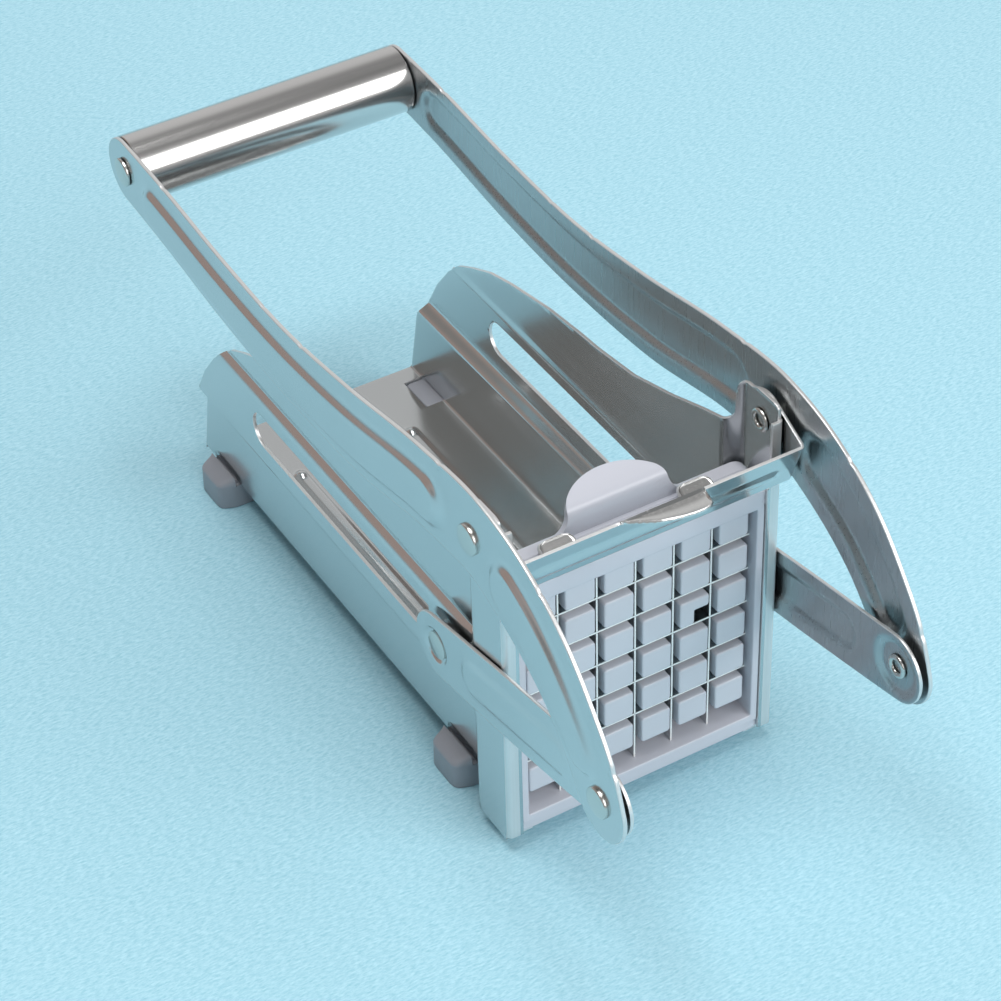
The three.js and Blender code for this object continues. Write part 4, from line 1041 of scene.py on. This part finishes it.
outer = rounded_loop(FRAME_LOW, FRAME_HIGH, (0.8, 6.0, 6.0, 0.8))
outer_in = rounded_loop(FRAME_LOW + EASE, FRAME_HIGH - EASE, (0.5, 5.6, 5.6, 0.5))
inner = rounded_loop(WINDOW_LOW, WINDOW_HIGH, [0.6] * 4)
inner_out = rounded_loop(WINDOW_LOW - EASE, WINDOW_HIGH + EASE, [1.0] * 4)
print("outline points:", len(outer))

# %% [markdown]
# The rounded edges are quarter circles: one outline turns into the next by the sine or the
# cosine of the turn while the depth follows the other. Beside the flange the front face is
# cut back a little, and behind it the top face stands a little higher.

# %% Cartridge frame
FRAME_FRONT, FRAME_REAR = -3.9, 11.2
REBATE_FROM, REBATE_DEPTH, REBATE_SLOPE, REBATE_REAR = 40.25, 0.85, 0.12, -1.0
HIGH_TOP_FROM, HIGH_TOP_RISE, ABOVE_WINDOW = 6.5, 0.25, 38.0
SIDE_MIDDLE, FACE_SHARES = 4.0, (0.34, 0.4, 0.7)
quarter = np.linspace(0, np.pi / 2, 5)
section = [(inner, FRAME_REAR), (inner, SIDE_MIDDLE), (inner, FRAME_FRONT + EASE)]
for a in quarter[1:]:
    section.append((lerp(inner, inner_out, 1 - math.cos(a)), FRAME_FRONT + EASE * (1 - math.sin(a))))
section += [(lerp(inner_out, outer_in, share), FRAME_FRONT) for share in FACE_SHARES]
for a in quarter:
    section.append((lerp(outer_in, outer, math.sin(a)), FRAME_FRONT + EASE * (1 - math.cos(a))))
raised = outer + np.where(outer[:, 1:] > ABOVE_WINDOW, HIGH_TOP_RISE, 0.0) * [0, 1]
section += [(outer, SIDE_MIDDLE), (outer, HIGH_TOP_FROM - 0.2), (raised, HIGH_TOP_FROM)]
for a in quarter[::-1]:
    section.append((lerp(outer_in, raised, math.sin(a)), FRAME_REAR - EASE * (1 - math.cos(a))))
section.append((inner, FRAME_REAR))

outlines = np.array([outline for outline, y in section])
depth = np.array([y for outline, y in section])[:, None]
rebate = REBATE_DEPTH * soft_step((np.abs(outlines[..., 0]) - REBATE_FROM) / REBATE_SLOPE)
depth = np.where(depth < REBATE_REAR, np.maximum(depth, FRAME_FRONT + rebate), depth)
window_points = surface(outlines[..., 0], depth, outlines[..., 1]).transpose(1, 0, 2)
window_points = np.concatenate([window_points, window_points[:1]])
window = mesh_piece("frame_window", placed(window_points), grid_faces(*window_points.shape[:2]))
smooth(clean(window), 40)
finish_piece(window, frame_plastic, "body", "frame_plastic", "cartridge_frame")
print("frame:", len(window.data.polygons), "faces")

# %% [markdown]
# The pull tongue is a thin shell on top of the frame. It stands up, bends back over a soft
# crease and ends in a dome; at its foot it flares out into the frame. Its width is a
# formula of the way along the bent middle line.

# %% Pull tongue
TONGUE_LINE = [
    (8.9, 42.6), (8.9, 44.4), (9.05, 46.6), (9.4, 48.8), (10.1, 50.6), (11.6, 51.7), (14.0, 52.4),
    (16.4, 53.0), (18.7, 53.5),
]
CREASE_AT, TONGUE_HALF, TONGUE_WALL, DOME_POWER = 8.4, 15.7, 1.9, 1.55
FLARE, FLARE_FROM, FLARE_FADE = 7.0, 1.0, 2.6
tongue_length = steps_length(TONGUE_LINE)
past_crease = tongue_length - CREASE_AT
turn = np.linspace(0, np.pi / 2, 40)
tongue_at = np.append(np.linspace(0, CREASE_AT, 26)[:-1], CREASE_AT + past_crease * np.sin(turn))
dome = np.clip((tongue_at - CREASE_AT) / past_crease, 0, 1)
flare = FLARE * np.exp(-np.clip(tongue_at - FLARE_FROM, 0, None) / FLARE_FADE)
tongue_half = (TONGUE_HALF + flare) * np.sqrt(np.clip(1 - dome**DOME_POWER, 0, 1))
tongue_half[-1] = 0.0
middle = curve_through(TONGUE_LINE, tongue_at)
share = np.sin(np.linspace(-np.pi / 2, np.pi / 2, 41))
tongue_points = surface(tongue_half[:, None] * share, middle[:, :1], middle[:, 1:])
tongue = mesh_piece("pull_tongue", placed(tongue_points), grid_faces(*tongue_points.shape[:2]))
smooth(clean(tongue), 60)
sheet_wall(tongue, TONGUE_WALL * MM, 0.0, even=False)
eased(tongue, 0.55 * MM, 3, 50)
finish_piece(tongue, frame_plastic, "body", "frame_plastic", "cartridge_frame")
print("tongue:", round(tongue_length, 1), "mm long")

# %% [markdown]
# The pusher's head has one finger for each cell. A finger is a stack of outlines: the root
# is a little thicker than the tip, and the front edge is rounded. One finger is notched to
# an L. Rounded outlines of right-angled shapes are drawn by one function for all of them.

# %% Finger shapes
PITCH, CELLS = 12.7, 6
FINGER_TIP, FINGER_ROOT = -1.7, 15.0
FINGER_HALF_X, FINGER_HALF_Z, FINGER_ROUND = 4.9, 4.6, 0.95
NOTCH_FLOOR, NOTCH_ROUND, NOTCHED_ROUND = 0.4, 0.25, 0.8
TIP_ROUND, TIP_MIDDLE = 0.55, 1.6
ROOT_SWELL, SWELL_HALFWAY = 0.12, 6.0


def corner_arc(before, corner, after, radius, steps=6):
    """Rounded corner of an outline: the arc that touches both neighbouring edges.

    Its middle lies the radius along both edges from the corner. A point is that middle plus
    the way to the start times the cosine of the turn and to the end times its sine.
    """
    before, corner, after = (np.array(v, dtype=float) for v in (before, corner, after))
    a = (before - corner) / np.linalg.norm(before - corner)
    b = (after - corner) / np.linalg.norm(after - corner)
    middle = corner + (a + b) * radius
    start, end = corner + a * radius, corner + b * radius
    turn = np.linspace(0, np.pi / 2, steps)[:, None]
    return middle + (start - middle) * np.cos(turn) + (end - middle) * np.sin(turn)


def rounded_outline(corners, radii):
    """Outline of a right-angled shape with a radius for each corner."""
    before, after = corners[-1:] + corners[:-1], corners[1:] + corners[:1]
    return np.concatenate([corner_arc(*arc) for arc in zip(before, corners, after, radii)])


def box_corners(inset):
    """Corners and radii of a whole finger's outline, drawn in by the inset."""
    a, b = FINGER_HALF_X - inset, FINGER_HALF_Z - inset
    return [(-a, -b), (a, -b), (a, b), (-a, b)], [max(FINGER_ROUND - inset * 0.5, 0.1)] * 4


def notched_corners(inset):
    """The same for the notched finger, whose lower right quarter is missing."""
    a, b = FINGER_HALF_X - inset, FINGER_HALF_Z - inset
    low = NOTCH_FLOOR + inset
    convex = max(NOTCHED_ROUND - inset * 0.5, 0.1)
    corners = [(-a, -b), (-inset, -b), (-inset, low), (a, low), (a, b), (-a, b)]
    return corners, [convex, convex, NOTCH_ROUND + inset, convex, convex, convex]


def finger_stack(shape):
    """Outlines of one finger from its root to its tip, whose edge is rounded by a quarter circle."""
    turn = np.linspace(0, np.pi / 2, 6)
    depth, insets = FINGER_TIP + TIP_ROUND * (1 - np.sin(turn)), TIP_ROUND * (1 - np.cos(turn))
    root = [(FINGER_ROOT, -ROOT_SWELL), (SWELL_HALFWAY, -ROOT_SWELL / 2)]
    levels = [*root, *zip(depth, insets), (FINGER_TIP, TIP_MIDDLE)]
    outlines = np.array([rounded_outline(*shape(inset)) for y, inset in levels])
    return surface(outlines[..., 0], np.array([y for y, inset in levels])[:, None], outlines[..., 1])


print("finger table:", finger_stack(box_corners).shape)

# %% [markdown]
# All fingers are the same table of points, moved to their cells, and stand on a plate. They
# are one moulded block on the real tool, so both pieces stand for the same solid.

# %% Pusher head
NOTCHED_CELL, MIDDLE_CELL = (2, 4), (CELLS - 1) / 2
PLATE_CORNERS = [(-37.2, -41.2), (37.2, -41.2), (37.2, 36.2), (-37.2, 36.2)]
PLATE_FRONT, PLATE_REAR, PLATE_ROUND = 13.0, 17.2, 1.5
stacks = []
for row in range(CELLS):
    for column in range(CELLS):
        stack = finger_stack(notched_corners if (row, column) == NOTCHED_CELL else box_corners)
        across, up = (column - MIDDLE_CELL) * PITCH, (MIDDLE_CELL - row) * PITCH
        stacks.append(stack + np.array([across, 0.0, up]))
fingers = stack_piece("finger_block", stacks, first_cap=False)
smooth(clean(fingers), 50)
finish_piece(fingers, finger_plastic, "pusher", "finger_plastic", "pusher_head")

plate_outline = rounded_outline(PLATE_CORNERS, [PLATE_ROUND] * 4)
plate_rows = np.array([np.insert(plate_outline, 1, y, axis=1) for y in (PLATE_FRONT, PLATE_REAR)])
plate = stack_piece("finger_plate", [plate_rows])
smooth(clean(plate), 40)
eased(plate, 0.5 * MM, 3, 50)
finish_piece(plate, finger_plastic, "pusher", "finger_plastic", "pusher_head")
print("fingers:", len(fingers.data.polygons), "faces")

# %% [markdown]
# The clasp is one sheet: a band in front, bent back at both ends into plates that swing on
# the pivots. The band leans forward and has a pressed bead, and near its middle its upper
# edge reaches on forward as a hollow lip for the thumb. First come the formulas of the lip,
# the bead and the plates' edges.

# %% Clasp shapes
BAND_TOP, BAND_LOW = np.array([-12.9, 61.8]), np.array([-7.6, 47.3])
BAND_HEIGHT = float(np.linalg.norm(BAND_TOP - BAND_LOW))
BAND_HALF, CLASP_BEND, LUG, CLASP_SHEET = 46.9, 1.5, 8.6, 0.9
BEAD_END, BEAD_PLACE, CLASP_BEAD_HALF, CLASP_BEAD_SLOPE = 37.0, 0.42, 3.4, 3.0
LIP_MEAN = 25
LIP_RIM = [
    (-13.4, 0.0), (-11.2, 1.0), (-7.8, 3.2), (-3.7, 5.6), (2.2, 7.3), (6.0, 7.8), (8.8, 7.9),
    (11.2, 7.3), (12.6, 6.3), (13.3, 4.4), (13.6, 0.0),
]
LIP_LEFT, LIP_RIGHT, LIP_STEEPNESS = LIP_RIM[0][0], LIP_RIM[-1][0], 45.0
band_up = (BAND_TOP - BAND_LOW) / BAND_HEIGHT
band_back = np.array([band_up[1], -band_up[0]])


def lip_reach(x):
    """How far the thumb lip comes forward from the band's upper edge.

    The measured rim is evened out by a running mean, and its ends fall steeply to the edge.
    """
    rim_x, rim_reach = np.array(LIP_RIM).T
    fine_x = np.linspace(LIP_LEFT, LIP_RIGHT, 400)
    fine = np.pad(np.interp(fine_x, rim_x, rim_reach), LIP_MEAN // 2, mode="edge")
    fine = np.convolve(fine, np.ones(LIP_MEAN) / LIP_MEAN, "valid")
    steep = np.minimum(fine_x - LIP_LEFT, LIP_RIGHT - fine_x) * LIP_STEEPNESS
    return np.interp(x, fine_x, np.minimum(fine, steep), left=0.0, right=0.0)


def band_relief(x, share):
    """Bead along the band: an S-shaped rise by the distance from its middle line, with round ends."""
    beyond = np.maximum(np.abs(x) - BEAD_END, 0.0)
    away = np.hypot(beyond, (share - BEAD_PLACE) * BAND_HEIGHT)
    return soft_step((CLASP_BEAD_HALF - away) / CLASP_BEAD_SLOPE)


def lug_edge(start, side, count):
    """Edge of a side plate, upper for side 1 and lower for -1: straight, then round the lug.

    The straight part touches the lug's circle. Seen from the pivot, that point is turned from
    the start by the angle whose cosine is the lug's radius over the distance to the start.
    """
    pivot = np.array(PIVOT)
    reach = start - pivot
    angle = math.atan2(reach[1], reach[0]) - side * math.acos(LUG / np.linalg.norm(reach))
    if side > 0:
        turn = np.linspace(angle, 0.0, count)
    else:
        turn = np.linspace(angle % (2 * math.pi), 2 * math.pi, count)
    arc = pivot + LUG * np.stack([np.cos(turn), np.sin(turn)], axis=1)
    return np.concatenate([lerp(start, arc[0], np.linspace(0, 1, 8)[:-1, None]), arc])


print("lip reaches", round(float(lip_reach(8.8)), 2), "mm forward")

# %% [markdown]
# One table of points covers the whole clasp. Its rows run from the round lug of one side,
# along the plate, round the bend, across the band and back to the other lug; its columns
# run from the lower edge to the upper one. A few columns more go on over the upper edge: near
# the middle they are the lip, and elsewhere they lie on the edge and are merged into it. The
# lip sinks at first and then rises: its height is a polynomial of the share of its reach.

# %% Clasp sheet
LIP_SINK, LIP_BEND, LIP_FLAT = 0.5, 0.62, 0.07
FLAT_HALF = BAND_HALF - CLASP_BEND
band_x = [
    np.linspace(-FLAT_HALF, FLAT_HALF, 62), np.linspace(LIP_LEFT, -11, 9), np.linspace(-11, 11, 45),
    np.linspace(11, LIP_RIGHT + 1, 25),
]
band_x = np.unique(np.concatenate(band_x).round(4))[:, None]
band_share = np.unique(np.append(np.linspace(0, 0.66, 24), np.linspace(0.66, 1.0, 30)).round(5))
band_line = BAND_LOW + band_up * (band_share[:, None] * BAND_HEIGHT)
band_plane = band_line - band_back * band_relief(band_x, band_share)[..., None]
lip_share = np.linspace(0, 1, 15)[1:]
hollow = LIP_BEND * lip_share**2 - LIP_SINK * lip_share - LIP_FLAT * lip_share**4
lip_rise = lip_reach(band_x) * hollow
lip = np.stack([BAND_TOP[0] - lip_reach(band_x) * lip_share, BAND_TOP[1] + lip_rise], axis=2)
band_plane = np.concatenate([band_plane, lip], axis=1)
band_table = surface(band_x, band_plane[..., 0], band_plane[..., 1])

sides = []
for a in np.radians(np.linspace(15, 90, 6)):
    bent = band_line + band_back * CLASP_BEND * (1 - math.cos(a))
    sides.append(np.insert(bent, 0, FLAT_HALF + CLASP_BEND * math.sin(a), axis=1))
upper = lug_edge(BAND_TOP + band_back * CLASP_BEND, 1, 22)
lower = lug_edge(BAND_LOW + band_back * CLASP_BEND, -1, 22)
for low, high in zip(lower[1:], upper[1:]):
    sides.append(np.insert(lerp(low, high, band_share[:, None]), 0, BAND_HALF, axis=1))
right_side = np.array(sides)
on_edge = np.repeat(right_side[:, -1:], len(lip_share), axis=1)
right_side = np.concatenate([right_side, on_edge], axis=1)
clasp_table = np.concatenate([mirror_x(right_side[::-1], -1), band_table, right_side])

clasp = mesh_piece("clasp_sheet", placed(clasp_table), grid_faces(*clasp_table.shape[:2]))
smooth(clean(clasp), 50)
sheet_wall(clasp, CLASP_SHEET * MM, even=False)
eased(clasp, 0.2 * MM, 2, 60)
mark_faces(clasp, 2 * (face_centres(clasp)[:, 1] < BAND_TOP[0] - 0.4))
finish_piece(clasp, sheet_x, "clasp", "sheet_steel", "clasp", others=[cut_steel, lip_steel])
print("clasp table:", clasp_table.shape)

# %% [markdown]
# Two keepers reach back from the band's lower edge over the cartridge and hold it down. Each
# is a narrow tongue with a round end, hollow along its middle because its rim curls up.

# %% Keepers
KEEPER_LINE = [
    (-7.2, 47.5), (-5.5, 46.3), (-3.0, 45.3), (0.0, 44.9), (2.5, 45.4), (4.6, 46.1), (6.8, 46.9)
]
KEEPER_X, KEEPER_HALF, KEEPER_ROUND = 22.5, 5.6, 2.6
CURL, CURL_WIDTH, CURL_FROM = 0.4, 0.9, 6.0
keeper_length = steps_length(KEEPER_LINE)
round_start = keeper_length - KEEPER_ROUND
turn = np.linspace(0, np.pi / 2, 9)
keeper_at = np.linspace(0, round_start, 24)
keeper_at = np.append(keeper_at, keeper_length - KEEPER_ROUND * np.cos(turn)[1:])[:, None]
into = np.clip(keeper_at - round_start, 0, KEEPER_ROUND)
keeper_half = KEEPER_HALF - (KEEPER_ROUND - np.sqrt(KEEPER_ROUND**2 - into**2))
keeper_middle = curve_through(KEEPER_LINE, keeper_at[:, 0])
share = np.sin(np.linspace(-np.pi / 2, np.pi / 2, 27))
inside = np.minimum(keeper_half * (1 - np.abs(share)), keeper_length - keeper_at)
curl = CURL * (1 - inside.clip(0, CURL_WIDTH) / CURL_WIDTH) ** 2 * soft_step(keeper_at / CURL_FROM)
for side, name in ((1, "right"), (-1, "left")):
    x = side * KEEPER_X + keeper_half * share
    rows = surface(x, keeper_middle[:, :1], keeper_middle[:, 1:] + curl)
    keeper = mesh_piece(f"keeper_{name}", placed(rows), grid_faces(*rows.shape[:2]))
    smooth(clean(keeper), 50)
    sheet_wall(keeper, CLASP_SHEET * MM, 0.0)
    eased(keeper, 0.25 * MM, 2, 60)
    finish_piece(keeper, lip_steel, "clasp", "sheet_steel", "clasp", others=[cut_steel])
print("keeper:", round(keeper_length, 1), "mm long")

# %% [markdown]
# A foot is a moulded block: a sole under the floor, a lobe beside the wall with a sloping
# rounded top, and a plug that fills the floor's opening. Each is a stack of plan outlines.

# %% Foot outlines
SOLE, UNDER, LOBE_TOP = -54.0, -45.3, 3.1
SOLE_INNER, LOBE_INNER = 31.8, 40.4
PLUG_CORNERS = [(32.0, -7.2), (39.6, -7.2), (39.6, 7.2), (32.0, 7.2)]
PLUG_MIDDLE, PLUG_TOP = np.array([35.8, 0.0]), FLOOR - 0.9
FOOT_EASE = 0.5


def foot_plan(inner_x, inset):
    """Plan outline of the foot at one height: narrower and rounder towards the outside.

    Each outer corner is a parabola that begins and ends three tenths of the way to its
    neighbours.
    """
    rough = np.array(
        [
            (inner_x, -8.7 + inset), (40.4, -8.7 + inset), (44.9 - inset, -7.0 + inset),
            (45.8 - inset, -5.0), (45.8 - inset, 5.0), (44.9 - inset, 7.0 - inset),
            (40.4, 8.7 - inset), (inner_x, 8.7 - inset),
        ]
    )
    u = np.linspace(0, 1, 5)[:, None]
    fine = [np.repeat(rough[:1], 5, axis=0)]
    for before, corner, after in zip(rough, rough[1:], rough[2:]):
        start, end = lerp(corner, before, 0.3), lerp(corner, after, 0.3)
        fine.append(start * (1 - u) ** 2 + 2 * corner * u * (1 - u) + end * u**2)
    fine.append(np.repeat(rough[-1:], 5, axis=0))
    return np.concatenate(fine)


def lobe_plan(rise):
    """Plan outline of the lobe at a share of its height.

    Its width shrinks towards the wall with the share to the power of one and a half, and its
    length by eight hundredths of the share squared, with a little more near the top.
    """
    plan = foot_plan(LOBE_INNER, 0.1)
    plan[:, 0] = lerp(plan[:, 0], LOBE_INNER, rise**1.5)
    plan[:, 1] *= 1 - 0.08 * rise**2 - 0.1 * max(rise - 0.85, 0.0)
    return plan


foot_rows = []
for a in np.linspace(0, np.pi / 2, 4):
    plan = foot_plan(SOLE_INNER, FOOT_EASE * (1 - math.sin(a)))
    foot_rows.append((plan, SOLE + FOOT_EASE * (1 - math.cos(a))))
foot_rows += [(foot_plan(SOLE_INNER, 0.1), UNDER), (foot_plan(LOBE_INNER, 0.1), UNDER)]
for rise in (0.03, 0.1, 0.2, 0.35, 0.5, 0.65, 0.8, 0.9, 0.96, 1.0):
    foot_rows.append((lobe_plan(rise), UNDER - 0.2 + LOBE_TOP * rise**0.8))
foot_stack = np.array([np.insert(plan, 2, z, axis=1) for plan, z in foot_rows])
print("foot outlines:", foot_stack.shape)

# %% [markdown]
# The plug is drawn like the fingers: a rounded outline that is drawn in over a quarter
# circle at its top. The four feet are the same stacks, moved and mirrored.

# %% Feet
FOOT_PLACES = (("front", 33.1), ("rear", 183.6))
PLUG_ROUND, PLUG_HALF = 1.6, 4.0
plug_outline = rounded_outline(PLUG_CORNERS, [PLUG_ROUND] * 4)
plug_levels = [(UNDER - 1.0, 0.0), (PLUG_TOP, 0.0)]
for a in np.linspace(0.3, np.pi / 2, 4):
    plug_levels.append((PLUG_TOP + FOOT_EASE * math.sin(a), FOOT_EASE * (1 - math.cos(a))))
plug_stack = []
for z, inset in plug_levels:
    plug_stack.append(np.insert(lerp(plug_outline, PLUG_MIDDLE, inset / PLUG_HALF), 2, z, axis=1))
stacks = (foot_stack, np.array(plug_stack))
for along, y in FOOT_PLACES:
    for side, name in ((1, "right"), (-1, "left")):
        moved = [mirror_x(stack + np.array([0, y, 0]), side) for stack in stacks]
        shoe = stack_piece(f"shoe_{along}_{name}", moved)
        smooth(clean(shoe), 40)
        finish_piece(shoe, foot_plastic, "body", "foot_plastic", f"foot_{along}_{name}")
print("foot:", len(shoe.data.polygons), "faces")

# %% [markdown]
# The floor is a pale blue cloth. It runs far past the cutter so that its edge never shows,
# and the bare steel mirrors its colour. Its short fibres are only a faint relief.

# %% Floor
FLOOR_HALF = 6.0
FIBRES = ((0.5, 1500.0), (-0.35, 1300.0))
FIBRE_STRETCH = (0.3, 1.0, 1.0)


def floor_cloth():
    """Felt-like cloth: fibres that lie in two directions, each a turn and a number to the metre."""
    graph = Graph("floor_cloth")
    layers = []
    for turn, per_metre in FIBRES:
        vector = graph.place(scale=FIBRE_STRETCH, rotation=(0, 0, turn))
        fibres = graph.noise(vector, per_metre, detail=3.0, rough=0.7)
        layers.append(graph.ramp(fibres, 0.35, 0.7) * 0.5)
    nap = layers[0] + layers[1]
    graph.set(
        base_color=graph.blend(nap, (0.27, 0.54, 0.65), (0.505, 0.77, 0.87)),
        roughness=0.95,
        normal=graph.bump(nap, 2e-4, 0.3),
    )
    return graph.material


corners = np.array([[-1, -1, 0], [1, -1, 0], [1, 1, 0], [-1, 1, 0]]) * FLOOR_HALF
floor = mesh_piece("floor", corners, [[0, 1, 2, 3]])
floor.data.materials.append(floor_cloth())
print("floor:", floor.dimensions[:])

# %% [markdown]
# The light is plain and soft. One large lamp stands in front, a little to the right: it
# draws the long highlight on the tube and throws the soft shadow backwards. A second one
# hangs above and lights the cloth evenly; no flat face mirrors it into the camera.

# %% Lamps
def lamp(name, place, size, power, target=(0, 0, 0.05)):
    """A rectangular lamp at a place, facing a target, both in metres."""
    data = bpy.data.lights.new(name, "AREA")
    data.shape = "RECTANGLE"
    data.size, data.size_y = size
    data.energy = power
    made = bpy.data.objects.new(name, data)
    collection.objects.link(made)
    made.location = place
    made.rotation_mode = "QUATERNION"
    made.rotation_quaternion = (Vector(target) - Vector(place)).to_track_quat("-Z", "Y")


lamp("lamp_front", (1.0, -3.0, 2.05), (4.2, 2.5), 112)
lamp("lamp_top", (-0.3, 0.1, 3.2), (1.7, 1.7), 62)

# %% [markdown]
# The rest of the room is a sky whose brightness follows the arch from the rear wall over the
# ceiling to the front, because the tube mirrors exactly that arch. Its left side is a little
# warmer. A table of stops along the arch is easier to adjust than many small lamps.

# %% Sky
SKY = [
    (0.0, 0.64), (0.06, 0.64), (0.16, 0.66), (0.26, 0.6), (0.36, 0.28), (0.46, 0.2), (0.56, 0.21),
    (0.66, 0.3), (0.76, 0.42), (1.0, 0.35),
]
WARM_LOW, WARM_HIGH, PLAIN = (0.7, 0.54, 0.48), (0.42, 0.4, 0.38), (1.0, 1.0, 1.0)
studio = Graph("studio", world=True)
bpy.context.scene.world = studio.material
direction = studio.node("ShaderNodeTexCoord", output="Generated")
across, along, upward = (
    studio.node("ShaderNodeSeparateXYZ", inputs=[direction], output=axis)
    for axis in (ACROSS, ALONG, UPRIGHT)
)
arch = upward.calc("ARCTAN2", along) / math.pi
brightness = studio.node("ShaderNodeValToRGB", inputs=[arch], stops=SKY)
left_tint = studio.blend(studio.ramp(upward, 0.25, 0.5), WARM_LOW, WARM_HIGH)
to_left = studio.ramp(across, -0.1, -0.35) * studio.ramp(along, 0.0, 0.35)
tint = studio.blend(to_left, PLAIN, left_tint)
studio.put(
    studio.shader.inputs["Color"],
    studio.node("ShaderNodeVectorMath", operation="MULTIPLY", inputs=[brightness, tint]),
)
bpy.context.scene.view_settings.view_transform = "Standard"
print("sky stops:", len(SKY))

# %% [markdown]
# The camera stands where the photographer stood: in front, to the left and above, with a
# long lens. Its place and turn were worked out from the grid, whose cells are square.

# %% Camera
FOCAL_PIXELS, IMAGE_PIXELS, SENSOR = 3139.563, 1001, 36.0
CAMERA_PLACE = [-355.878, -545.344, 605.169]
right = np.array([0.8567145, -0.5152618, -0.0233574])
down = np.array([-0.3477800, -0.5436181, -0.7638903])
ahead = np.array([0.3809060, 0.6625591, -0.6449233])
camera_data = bpy.data.cameras.new("camera")
camera_data.sensor_width = SENSOR
camera_data.lens = FOCAL_PIXELS / IMAGE_PIXELS * SENSOR
camera = bpy.data.objects.new("camera", camera_data)
collection.objects.link(camera)
bpy.context.scene.camera = camera
turn = Matrix(np.stack([right, -down, -ahead], axis=1).tolist())
camera.matrix_world = Matrix.Translation(placed(CAMERA_PLACE)) @ turn.to_4x4()
print("lens:", round(camera_data.lens, 1), "mm at", [round(c, 3) for c in camera.location])
